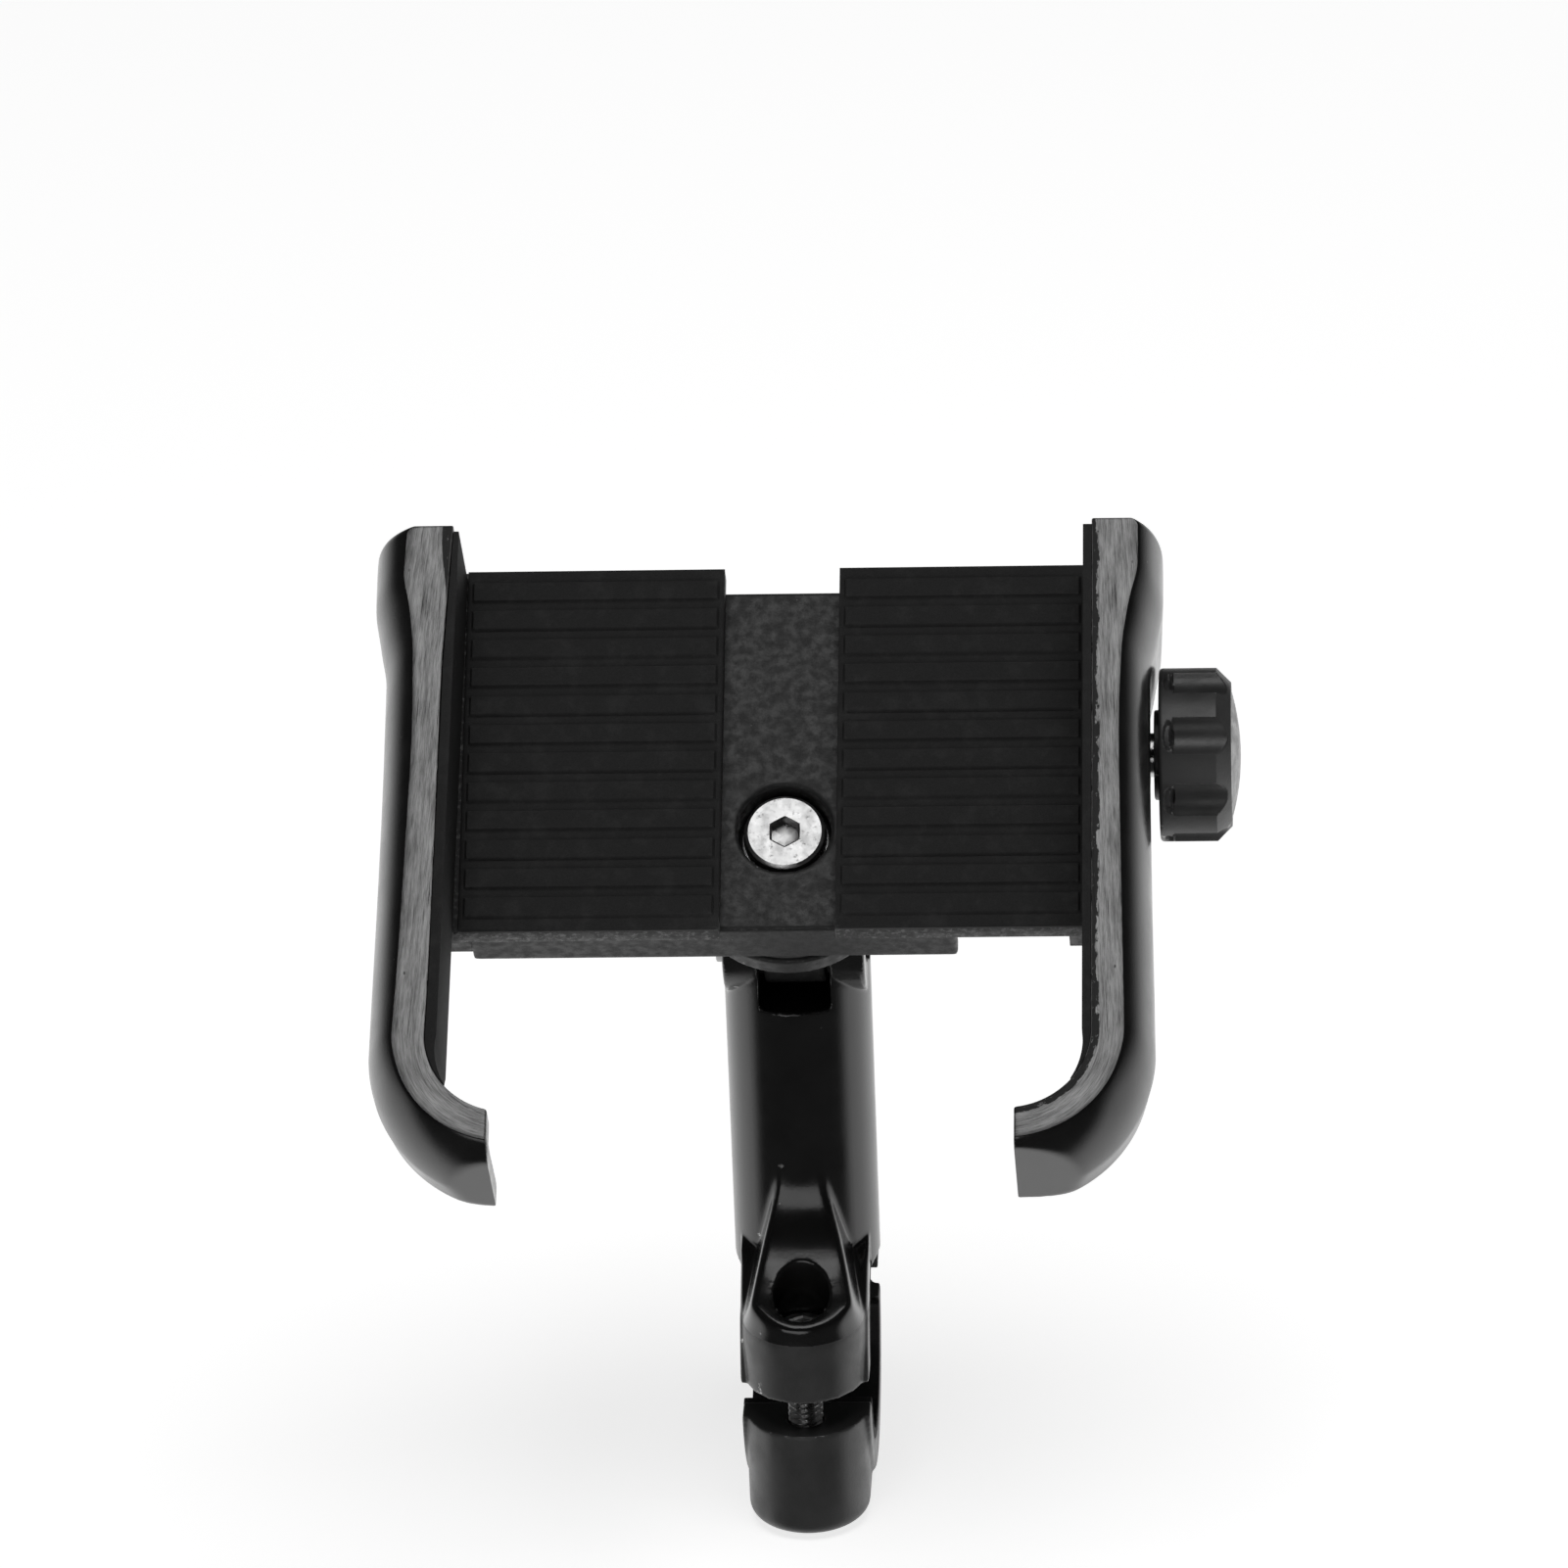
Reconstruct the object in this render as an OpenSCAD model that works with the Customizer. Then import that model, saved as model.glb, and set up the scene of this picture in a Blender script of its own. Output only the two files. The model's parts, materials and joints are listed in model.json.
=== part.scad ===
// Phone mount for a motorcycle handlebar.
// Origin: centre of the handlebar clamp bore. +X along the bar, +Z up the stem, -Y to the rider.
// The cradle is drawn flat in its own frame, with X to the knob, Y up the phone and Z out of the
// phone's face, and its origin on the tilt axis. cradle_frame() then leans it back.

/* [Handlebar clamp] */
// Diameter of the handlebar that the clamp holds
bar_d = 22.2; // [22:0.1:22.8]
// Thickness of the rubber liners
liner_t = 1.3; // [1:0.1:1.5]
// Width of the clamp along the bar
clamp_w = 14.8; // [14:0.1:15.4]
// Distance from the bar's axis to the front of the clamp lugs
lug_reach = 20.6; // [20.4:0.1:21.5]
// Gap between the two halves of the clamp
clamp_gap = 4.4; // [3.6:0.1:4.8]

/* [Stem] */
// Diameter of the stem column
column_d = 16.8; // [16.4:0.1:17.4]
// Height of the tilt axis above the bar's axis
tilt_z = 54.5; // [52:0.5:62]
// Angle of the cradle above level
tilt_deg = 38; // [30:1:50]

/* [Cradle] */
// Clear width between the side pads, at their lower ends
grip_w = 71; // [68:0.5:74]
// Distance of the grip's middle from the stem, to the side of the fixed arm
grip_shift = 1.7; // [0:0.1:2]
// Height of the arms, from the hooks' front face to the top
arm_h = 76.5; // [75:0.5:80]
// Depth of an arm at its middle, from the front face to the back
arm_depth = 24.5; // [24.5:0.5:26]
// Depth of the hooks
hook_depth = 15; // [14:0.5:16]
// Height of the bed plates that the phone lies on
plate_h = 44.8; // [44:0.2:46]
// Depth from the arms' front faces to the bed that the phone lies on
bed_depth = 11.3; // [11:0.1:12]

/* [Knob] */
// Diameter of the knob
knob_d = 19.5; // [18:0.5:21]
// Length of the knob without its cap
knob_len = 8.1; // [7.5:0.1:9]
// Number of finger flutes
flutes = 8; // [6:1:10]
// Diameter of the lead screw
lead_d = 5; // [4.8:0.1:5]

/* [Hidden] */
$fn = 64;
e = 0.01;              // overshoot of a cut
fit = 0.05;            // radial clearance of a running fit

// clamp
bar_r = bar_d / 2;
seat_r = bar_r + liner_t;          // bore of the metal halves
ring_r = seat_r + 3.5;
lug_r = 7;                         // round ends of the lugs, in plan
lug_top = 10.6;
cap_bottom = -15.6;
clamp_screw_y = 16;
clamp_screw_r = 2;
clamp_screw_seat = 7.6;
clamp_screw_end = -13;
clamp_screw_gap = 0.3;             // clearance round the clamp screws in the stem
head_r = 2.9;
head_h = 2.6;
thread_pitch = 0.7;

// stem and tilt joint
column_r = column_d / 2;
ear_gap = 4.05;                    // half of the slot between the ears
slot_r = column_r - 0.2;           // round floor of the slot, about the tilt axis
tongue_w = 3.5;                    // half of the tongue's width
tongue_r = 7.5;
tilt_bolt_r = 2.5;
tilt_head_r = 4.25;
tilt_sink = 2;                     // depth of the pockets for the bolt's head and the nut
nut_flats = 9.2;

// swivel stack, as heights above the tilt axis along the cradle's Z
turntable_z = 10.5;                // turntable on top of the knuckle
turntable_t = 3;
turntable_r = 12;
glide_t = 0.75;                    // nylon disc between turntable and cradle
swivel_foot = 4.8;                 // lower end of the swivel bolt
swivel_pocket = 19.65;             // floor of the pocket for the bolt's head
swivel_seat = 20.25;
swivel_head_r = 4.7;
swivel_head_t = 2.4;
washer_t = 0.5;

// cradle, along the phone: arm_s is the distance from the hooks' front face to a point
swivel_s = 45.5;
front_z = 38.5;                    // front faces of the arms
bed_z = front_z - bed_depth;
pad_t = 1;
plate_t = 2.4;
plate_z = bed_z - pad_t - plate_t; // back of the bed plates
body_front = plate_z - 0.3;
body_back = turntable_z + turntable_t + glide_t + 0.05;
plate_top = arm_h - swivel_s;
plate_bottom = plate_top - plate_h;
body_top = plate_top - 1.5;
body_bottom = plate_bottom + 1.3;
right_wall = grip_w / 2 - grip_shift + pad_t;    // inner face of the right arm
left_wall = grip_w / 2 + grip_shift + pad_t;     // inner face of the left arm, as a distance
flange_t = 3;
flange_back = 16.2;
flange_bottom = plate_bottom + 2.3;
flange_top = plate_top - 3.3;
body_right = 19.3;
body_left = -(left_wall - flange_t - 0.1);
jaw_in = 6;                        // inner end of the right bed plate
bracket_in = 7;                    // inner end of the left bed plate
screw_y = 10.8;                    // lead screw
screw_z = front_z - 19.6;
screw_pitch = 0.8;
rod_ys = [24, -8.5];
rod_r = 2;
lead_r = lead_d / 2;
bush_r = 2.8;
bush_x = [7, body_right];
nut_x = [9, body_right];
nut_r = 3.6;
bore_end = -18.5;
shaft_end = -5;
arm_screw_ys = [1, 18.4];
arm_screw_z = 19.5;
flat_r = 1.5;                      // small countersunk screws
flat_head_r = 2.8;
sink_r = 3 + fit;                  // countersinks for their heads
sink_t = 1.5;
arm_bush_r = 3.6;
ring_groove_r = lead_r - 0.5;      // retaining ring on the lead screw
retaining_r = 3.9;
bracket_screw_x = -24;
bracket_screw_ys = [-6, 24];

// arm outline
hook_c = 9.3;                      // radius of the hook's inner edge
hook_s = 14;                       // height of the hook's centre
left_reach = 7.1;                  // hook's tip, inwards from the left arm's inner face
right_reach = 8.4;                 // the same on the right arm
left_foot = -0.4;                  // height of the left hook's flat underside
right_foot = 0.3;
lip_t = 3.2;                       // thickness of the lip in front of the phone's corner
lip_in = 2.6;                      // overhang of that lip
flank_z = 9;                       // depth of the arm's widest line
waist_t = 6.35;                    // arm's thickness at the knob
back_draft = 0.5;                  // how much thinner the arm is at its back

/* ---------- shared shapes ---------- */

module cradle_frame() {
    translate([0, 0, tilt_z]) rotate([tilt_deg, 0, 0]) children();
}

// a cylinder along X, from x0 to x1
module rod_x(x0, x1, r) {
    translate([x0, 0, 0]) rotate([0, 90, 0]) cylinder(h = x1 - x0, r = r);
}

module box(x0, x1, y0, y1, z0, z1) {
    translate([x0, y0, z0]) cube([x1 - x0, y1 - y0, z1 - z0]);
}

// rings with the profile of a screw thread, from z = 0 upwards
module thread(r, pitch, turns) {
    depth = pitch * 0.5;
    rotate_extrude() polygon(concat(
        [[0, 0]],
        [for (i = [0:turns - 1]) each [[r - depth, i * pitch], [r, (i + 0.5) * pitch]]],
        [[r - depth, turns * pitch], [0, turns * pitch]]));
}

// cap-head screw, head upwards, seat at z = 0
module cap_screw(r, length, hr, hh, key, pitch) {
    difference() {
        union() {
            translate([0, 0, -length]) thread(r, pitch, floor(length * 0.8 / pitch));
            translate([0, 0, -length * 0.25]) cylinder(h = length * 0.25 + e, r = r);
            cylinder(h = hh - 0.4, r = hr);
            translate([0, 0, hh - 0.4]) cylinder(h = 0.4, r1 = hr, r2 = hr - 0.4);
        }
        translate([0, 0, hh * 0.45]) cylinder(h = hh, r = key / 2 / cos(30), $fn = 6);
    }
}

// flat screw with a countersunk head, top at z = 0, pointing to -Z
module flat_screw(r, length, hr, key) {
    difference() {
        union() {
            translate([0, 0, -length]) cylinder(h = length, r = r);
            translate([0, 0, r - hr]) cylinder(h = hr - r, r1 = r, r2 = hr);
        }
        translate([0, 0, -1]) cylinder(h = 2, r = key / 2 / cos(30), $fn = 6);
    }
}

/* ---------- clamp ---------- */

// stadium outline of the clamp in plan, with edges rounded at height z1
module clamp_block(z0, z1, edge) {
    run = lug_reach - lug_r;
    side = z1 > z0 ? 1 : -1;
    profile = concat(
        [[0, z0], [lug_r, z0], [lug_r, z1 - side * edge]],
        [for (a = [15:15:75]) [lug_r - edge * (1 - cos(a)), z1 - side * edge * (1 - sin(a))]],
        [[lug_r - edge, z1], [0, z1]]);
    for (y = [-run, run]) translate([0, y, 0]) rotate_extrude() polygon(profile);
    translate([0, run, 0]) rotate([90, 0, 0]) linear_extrude(2 * run)
        polygon(concat(profile, [for (i = [len(profile) - 1:-1:0]) [-profile[i][0], profile[i][1]]]));
}

module clamp_ring(z0, z1) {
    intersection() {
        rod_x(-clamp_w / 2, clamp_w / 2, ring_r);
        box(-clamp_w, clamp_w, -ring_r - 1, ring_r + 1, z0, z1);
    }
}

module screw_places() {
    for (side = [-1, 1]) translate([0, side * clamp_screw_y, 0]) children();
}

// buttress from the column's front down to a lug: its outlines from the side and from the front
web_top = 30;
web_low = 8;
web_steps = 18;
function web_z(i) = web_low + (web_top - web_low) * i / web_steps;
function web_y(z) = column_r - 0.2 + 16.8 * pow((web_top - z) / 20, 3.2);
function web_half(z) = 1.6 + 5.2 * pow((web_top - z) / 20, 1.15);

module buttress() {
    outline = [for (i = [0:web_steps]) web_z(i)];
    run = lug_reach - lug_r;
    intersection() {
        rotate([90, 0, -90]) translate([0, 0, -clamp_w / 2]) linear_extrude(clamp_w)
            polygon(concat([for (z = outline) [min(web_y(z), lug_reach), z]], [[4, web_top], [4, web_low]]));
        rotate([90, 0, 0]) linear_extrude(lug_reach) polygon(concat(
            [for (z = outline) [web_half(z), z]],
            [for (i = [web_steps:-1:0]) [-web_half(web_z(i)), web_z(i)]]));
        union() {
            translate([0, -run, 0]) cylinder(h = web_top, r = lug_r - 0.15);
            box(0.15 - lug_r, lug_r - 0.15, -run, 0, 0, web_top);
        }
    }
}

module stem() {
    color([0.03, 0.03, 0.035]) difference() {
        union() {
            clamp_block(clamp_gap / 2, lug_top, 1);
            clamp_ring(clamp_gap / 2, ring_r);
            translate([0, 0, 8.5]) cylinder(h = tilt_z - 8.5, r = column_r);
            translate([0, 0, tilt_z]) rod_x(-column_r + 0.3, column_r - 0.3, column_r);
            buttress();
            mirror([0, 1, 0]) buttress();
        }
        rod_x(-column_d, column_d, bar_r + 0.3);
        rod_x(-clamp_w / 2, clamp_w / 2, seat_r);
        screw_places() {
            translate([0, 0, -1]) cylinder(h = 20, r = clamp_screw_r + clamp_screw_gap);
            translate([0, 0, clamp_screw_seat]) cylinder(h = 20, r = head_r + clamp_screw_gap);
        }
        box(-ear_gap, ear_gap, -column_d, column_d, tilt_z, tilt_z + column_d);
        box(-ear_gap, ear_gap, -column_d, 0, tilt_z - slot_r, tilt_z + e);
        translate([0, 0, tilt_z]) rod_x(-ear_gap, ear_gap, slot_r);
        translate([0, 0, tilt_z]) rod_x(-column_d, column_d, tilt_bolt_r + 0.1);
        translate([0, 0, tilt_z]) rod_x(column_r - tilt_sink, column_d, tilt_head_r + 0.75);
        translate([-column_r + tilt_sink, 0, tilt_z]) rotate([0, -90, 0])
            cylinder(h = column_d, r = (nut_flats / 2 + 0.1) / cos(30), $fn = 6);
    }
}

module clamp_cap() {
    color([0.03, 0.03, 0.035]) difference() {
        union() {
            clamp_block(-clamp_gap / 2, cap_bottom, 1.6);
            clamp_ring(-ring_r, -clamp_gap / 2);
        }
        rod_x(-column_d, column_d, seat_r);
        screw_places() translate([0, 0, cap_bottom + 1.4]) cylinder(h = 20, r = clamp_screw_r + fit);
    }
}

module liner_half() {
    color([0.06, 0.06, 0.06]) difference() {
        rod_x(-clamp_w / 2, clamp_w / 2, seat_r);
        rod_x(-clamp_w, clamp_w, bar_r);
        box(-clamp_w, clamp_w, -column_d, column_d, -column_d, clamp_gap / 2 + 0.2);
    }
}

module upper_liner() {
    liner_half();
}

module lower_liner() {
    mirror([0, 0, 1]) liner_half();
}

module clamp_screw(side) {
    color([0.72, 0.73, 0.75]) translate([0, side * clamp_screw_y, clamp_screw_seat])
        cap_screw(clamp_screw_r, clamp_screw_seat - clamp_screw_end, head_r, head_h, 3, thread_pitch);
}

module front_clamp_screw() {
    clamp_screw(-1);
}

module rear_clamp_screw() {
    clamp_screw(1);
}

/* ---------- tilt joint ---------- */

module tilt_bolt() {
    color([0.55, 0.56, 0.58]) translate([0, 0, tilt_z]) rotate([0, 90, 0])
        translate([0, 0, column_r - tilt_sink + washer_t])
            cap_screw(tilt_bolt_r, column_d - 2.4, tilt_head_r, 3, 3, screw_pitch);
}

module tilt_bolt_washer() {
    color([0.6, 0.61, 0.63]) translate([0, 0, tilt_z]) difference() {
        rod_x(column_r - tilt_sink, column_r - tilt_sink + washer_t, tilt_head_r + 0.55);
        rod_x(0, column_d, tilt_bolt_r + 0.1);
    }
}

module tilt_nut() {
    color([0.6, 0.61, 0.63]) translate([-column_r + tilt_sink, 0, tilt_z]) rotate([0, -90, 0]) difference() {
        cylinder(h = 2.7, r = nut_flats / 2 / cos(30), $fn = 6);
        translate([0, 0, -1]) cylinder(h = 5, r = tilt_bolt_r + fit);
    }
}

module tilt_friction_washers() {
    color([0.1, 0.1, 0.1]) translate([0, 0, tilt_z]) for (x = [-ear_gap, tongue_w + fit]) difference() {
        rod_x(x, x + ear_gap - tongue_w - fit, 6.5);
        rod_x(-column_d, column_d, tilt_bolt_r + 0.1);
    }
}

module tilt_knuckle() {
    color([0.05, 0.05, 0.055]) cradle_frame() difference() {
        union() {
            rod_x(-tongue_w, tongue_w, tongue_r);
            box(-tongue_w, tongue_w, -tongue_r, tongue_r, 0, turntable_z - 0.5);
            translate([0, 0, turntable_z - 0.9])
                cylinder(h = 0.9, r1 = turntable_r - 3.4, r2 = turntable_r);
            translate([0, 0, turntable_z - e]) cylinder(h = turntable_t, r = turntable_r);
        }
        rod_x(-column_d, column_d, tilt_bolt_r + fit);
        translate([0, 0, swivel_foot - 0.2]) cylinder(h = 20, r = tilt_bolt_r + fit);
    }
}

/* ---------- swivel ---------- */

module swivel_disc() {
    color([0.12, 0.12, 0.13]) cradle_frame() difference() {
        translate([0, 0, turntable_z + turntable_t]) cylinder(h = glide_t, r = turntable_r - 0.5);
        cylinder(h = 30, r = tilt_bolt_r + 0.1);
    }
}

module swivel_bolt() {
    color([0.62, 0.63, 0.65]) cradle_frame() difference() {
        union() {
            translate([0, 0, swivel_foot]) cylinder(h = swivel_seat - swivel_foot + e, r = tilt_bolt_r);
            translate([0, 0, swivel_seat]) cylinder(h = swivel_head_t - 0.3, r = swivel_head_r);
            translate([0, 0, swivel_seat + swivel_head_t - 0.3])
                cylinder(h = 0.3, r1 = swivel_head_r, r2 = swivel_head_r - 0.3);
        }
        translate([0, 0, swivel_seat + 1]) cylinder(h = 3, r = 1.5 / cos(30), $fn = 6);
    }
}

module swivel_washer() {
    color([0.7, 0.7, 0.72]) cradle_frame() difference() {
        translate([0, 0, swivel_pocket + fit]) cylinder(h = washer_t, r = swivel_head_r + 0.2);
        cylinder(h = 30, r = tilt_bolt_r + 0.1);
    }
}

/* ---------- cradle body ---------- */

// places of the two guide rods
module rod_places() {
    for (y = rod_ys) translate([0, y, screw_z]) children();
}

module cradle_body() {
    color([0.05, 0.05, 0.055]) cradle_frame() difference() {
        union() {
            box(body_left, body_right, body_bottom, body_top, body_back + 2, body_front);
            hull() {
                box(body_left, body_right, body_bottom, body_top, body_back + 2, body_back + 3);
                box(body_left + 2, body_right - 2, body_bottom + 2, body_top - 2, body_back, body_back + 1);
            }
        }
        rod_places() rod_x(bore_end, body_right + 1, rod_r + fit);
        rod_places() rod_x(bush_x[0], body_right + 1, bush_r);
        translate([0, screw_y, screw_z]) rod_x(bore_end, body_right + 1, lead_r + 0.15);
        translate([0, screw_y, screw_z]) rod_x(nut_x[0], body_right + 1, nut_r);
        cylinder(h = 40, r = tilt_bolt_r + fit);
        translate([0, 0, swivel_pocket]) cylinder(h = 20, r = swivel_head_r + 0.6);
        for (y = bracket_screw_ys) translate([bracket_screw_x, y, body_back + 2.4])
            cylinder(h = 20, r = flat_r + fit);
    }
}

module lead_nut() {
    color([0.75, 0.6, 0.28]) cradle_frame() translate([0, screw_y, screw_z]) difference() {
        rod_x(nut_x[0], nut_x[1], nut_r);
        rod_x(0, 30, lead_r + fit);
    }
}

module rod_bushes() {
    color([0.7, 0.55, 0.3]) cradle_frame() rod_places() difference() {
        rod_x(bush_x[0], bush_x[1], bush_r);
        rod_x(0, 30, rod_r + fit);
    }
}

/* ---------- arms: drawn as the right arm, with its inner face at x = 0 ---------- */

function ease(t) = let (u = max(0, min(1, t))) u * u * (3 - 2 * u);

// width of the flat front face at height s
function face_w(s) = lookup(s, [
    [0, 3.9], [14, 3.7], [36, 3.3], [50, 3.1], [60, 3.4], [66, 4.2], [71, 5.2],
    [arm_h - 1, 5.2], [arm_h - 0.4, 4.9], [arm_h, 4.3]]);

// thickness of the arm at height s
function arm_t(s) = lookup(s, [
    [0, 7], [14, 6.9], [36, 6.5], [50, waist_t], [60, waist_t], [65, 7.1], [70, 7.8],
    [arm_h - 3, 7.8], [arm_h - 1, 7.75], [arm_h - 0.4, 7.6], [arm_h, 7.3]]);

// depth of the arm at height s
function arm_d(s) = hook_depth + (arm_depth - hook_depth) * ease((s - 17) / 16);

// how far the front of the left arm leans in at height s
function lean(s) = lookup(s, [
    [hook_s, 0], [21, 0.21], [33, 0.38], [46, 0.52], [57.5, 0.64], [66, 0.95], [arm_h, 1.45]]);

// outline of the arm's section, as [outwards, depth]; the inner face is in by lean down to the
// depth of ledge, and behind that set back by recess
function section(fw, t, d, recess, lean, ledge) = concat(
    [[-lean, 0], [fw - lean, 0]],
    [for (a = [45:11.25:90]) [
        fw - lean + (t - fw + lean) * (sin(a) - sin(30)) / (1 - sin(30)),
        -flank_z * (cos(30) - cos(a)) / cos(30)]],
    [[t - back_draft, 2.4 - d], [t - back_draft - 0.7, 0.8 - d], [t - back_draft - 2.1, -d]],
    [[recess + 0.8, -d], [recess, 0.8 - d], [recess, -ledge], [-lean, 0.2 - ledge]]);

// stations down the straight of the arm, then round its hook
straight = [arm_h, arm_h - 0.4, arm_h - 1, arm_h - 3, 70, 67.5, 65, 62, 59, 54, 50, 43, 36, 33,
            30, 27, 24, 21, 18];
hook_angles = [for (a = [0:7.5:97.5]) a];
function straight_ring(s, leaning) = [
    for (p = section(face_w(s), arm_t(s), arm_d(s), 0.04, leaning * lean(s), bed_depth + pad_t - 0.1))
        [p[0], s - swivel_s, front_z + p[1]]];
function hook_ring(a, foot) = [for (p = section(face_w(hook_s), arm_t(hook_s), hook_depth,
                                          0.04 + lip_in * ease(a / 34), 0, lip_t))
    [(hook_c + p[0]) * cos(a) - hook_c, max(foot, hook_s - (hook_c + p[0]) * sin(a)) - swivel_s,
     front_z + p[1]]];

// skin through a list of rings with the same number of points
module skin(rings) {
    n = len(rings[0]);
    last = len(rings) - 1;
    polyhedron(
        points = [for (ring = rings) each ring],
        faces = concat(
            [[for (i = [0:n - 1]) i]],
            [for (r = [0:last - 1]) for (i = [0:n - 1]) each
                let (j = (i + 1) % n)
                [[r * n + i, (r + 1) * n + i, (r + 1) * n + j], [r * n + i, (r + 1) * n + j, r * n + j]]],
            [[for (i = [n - 1:-1:0]) last * n + i]]));
}

module arm_blank(reach, foot, leaning) {
    difference() {
        skin(concat(
            [for (s = straight) straight_ring(s, leaning)],
            [for (a = hook_angles) hook_ring(a, foot)]));
        box(-30, -reach, -swivel_s - 10, -swivel_s + 10, 0, front_z + 1);
    }
}

// pilot holes for the two screws that hold the bracket
module arm_screw_places() {
    for (y = arm_screw_ys) translate([0, y, arm_screw_z]) children();
}

module arm_pilots() {
    arm_screw_places() rod_x(-1, 4.2, flat_r + fit);
}

module left_arm() {
    color([0.04, 0.04, 0.045]) cradle_frame() translate([-left_wall, 0, 0]) mirror([1, 0, 0])
        difference() {
            arm_blank(left_reach, left_foot, 1);
            arm_pilots();
        }
}

module right_arm() {
    color([0.04, 0.04, 0.045]) cradle_frame() translate([right_wall, 0, 0]) difference() {
        arm_blank(right_reach, right_foot, 0);
        arm_pilots();
        rod_places() rod_x(-1, 4.5, rod_r + fit);
        translate([0, screw_y, screw_z]) rod_x(-1, 20, arm_bush_r);
    }
}

// bed plate with the flange that its arm is screwed to, inner face of the arm at x = 0
module bracket(plate_len) {
    difference() {
        union() {
            box(-plate_len, 0, plate_bottom, plate_top, plate_z, plate_z + plate_t);
            box(-flange_t, 0, flange_bottom, flange_top, flange_back, plate_z + e);
            translate([0, screw_y, screw_z]) rod_x(-flange_t, 0, plate_z - screw_z);
        }
        arm_screw_places() {
            rod_x(-10, 10, flat_r + fit);
            translate([-flange_t - e, 0, 0]) rotate([0, 90, 0])
                cylinder(h = sink_t, r1 = sink_r, r2 = flat_r + fit);
        }
    }
}

module left_bracket() {
    color([0.07, 0.07, 0.075]) cradle_frame() difference() {
        translate([-left_wall, 0, 0]) mirror([1, 0, 0]) bracket(left_wall - bracket_in);
        for (y = bracket_screw_ys) translate([bracket_screw_x, y, plate_z - 1]) {
            cylinder(h = 10, r = flat_r + fit);
            translate([0, 0, 1 + plate_t - sink_t]) cylinder(h = sink_t + e, r1 = flat_r + fit, r2 = sink_r);
        }
    }
}

module right_bracket() {
    color([0.07, 0.07, 0.075]) cradle_frame() difference() {
        translate([right_wall, 0, 0]) bracket(right_wall - jaw_in);
        rod_places() rod_x(right_wall - 10, right_wall + 1, rod_r + fit);
        translate([0, screw_y, screw_z]) {
            rod_x(right_wall - 10, right_wall + 1, lead_r + fit);
            rod_x(right_wall - 10, right_wall - flange_t + 1.2, retaining_r + 0.3);
        }
    }
}

// rubber bed pad with low ribs across the phone
module bed_pad(x0, x1) {
    base = 0.6;
    ribs = 12;
    groove = 1;
    step = (plate_h - 2) / ribs;
    color([0.08, 0.08, 0.08]) cradle_frame() {
        box(x0, x1, plate_bottom, plate_top, bed_z - pad_t, bed_z - pad_t + base);
        for (i = [0:ribs - 1])
            translate([0, plate_bottom + 1 + i * step, 0])
                box(x0 + 0.6, x1 - 0.6, groove / 2, step - groove / 2, bed_z - pad_t + base - e, bed_z);
    }
}

module left_bed_pad() {
    bed_pad(-left_wall + pad_t + 1.15, -bracket_in);
}

module right_bed_pad() {
    bed_pad(jaw_in, right_wall - pad_t);
}

// rubber strip on an arm's inner face, running out in a thin tail round the hook
module side_pad(leaning) {
    tail = 40;
    steps = 10;
    gap = 0.03;
    top = arm_h - 0.8;
    foot_t = pad_t + 0.3 * leaning;
    top_x = hook_c - pad_t - 1.05 * leaning;
    translate([-hook_c, hook_s - swivel_s, bed_z - pad_t]) linear_extrude(front_z - 0.1 - bed_z + pad_t)
        polygon(concat(
            [[hook_c - leaning * lean(top) - gap, top - hook_s]],
            [for (s = straight) if (s < top) [hook_c - leaning * lean(s) - gap, s - hook_s]],
            [for (i = [0:steps]) let (a = -tail * i / steps) (hook_c - gap) * [cos(a), sin(a)]],
            [for (i = [steps:-1:0]) let (r = hook_c - foot_t * (1 - 0.9 * i / steps), a = -tail * i / steps)
                r * [cos(a), sin(a)]],
            [[top_x, top - hook_s]]));
}

module left_side_pad() {
    color([0.05, 0.05, 0.05]) cradle_frame() translate([-left_wall, 0, 0]) mirror([1, 0, 0]) side_pad(1);
}

module right_side_pad() {
    color([0.05, 0.05, 0.05]) cradle_frame() translate([right_wall, 0, 0]) side_pad(0);
}

// rubber strip on a hook's floor, behind its lip
module hook_pad() {
    outer = hook_c + lip_in - 0.1;
    translate([-hook_c, hook_s - swivel_s, front_z - hook_depth + 0.8]) rotate([0, 0, -76])
        rotate_extrude(angle = 40) translate([outer - 0.8, 0]) square([0.8, hook_depth - lip_t - 1]);
}

module left_hook_pad() {
    color([0.05, 0.05, 0.05]) cradle_frame() translate([-left_wall, 0, 0]) mirror([1, 0, 0]) hook_pad();
}

module right_hook_pad() {
    color([0.05, 0.05, 0.05]) cradle_frame() translate([right_wall, 0, 0]) hook_pad();
}

module left_bracket_screws() {
    color([0.6, 0.61, 0.63]) cradle_frame() for (y = bracket_screw_ys)
        translate([bracket_screw_x, y, plate_z + plate_t - 0.05]) flat_screw(flat_r, 9, flat_head_r, 2);
}

module arm_screws() {
    color([0.6, 0.61, 0.63]) arm_screw_places() translate([-flange_t + 0.05, 0, 0]) rotate([0, -90, 0])
        flat_screw(flat_r, 7, flat_head_r, 2);
}

module left_arm_screws() {
    cradle_frame() translate([-left_wall, 0, 0]) mirror([1, 0, 0]) arm_screws();
}

module right_arm_screws() {
    cradle_frame() translate([right_wall, 0, 0]) arm_screws();
}

module guide_rods() {
    color([0.75, 0.76, 0.78]) cradle_frame() rod_places() rod_x(shaft_end, right_wall + 4.4, rod_r);
}

/* ---------- lead screw and knob ---------- */

module screw_bush() {
    color([0.7, 0.55, 0.3]) cradle_frame() translate([right_wall, screw_y, screw_z]) difference() {
        rod_x(0, waist_t - 0.3, arm_bush_r);
        rod_x(-1, 20, lead_r + fit);
    }
}

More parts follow.
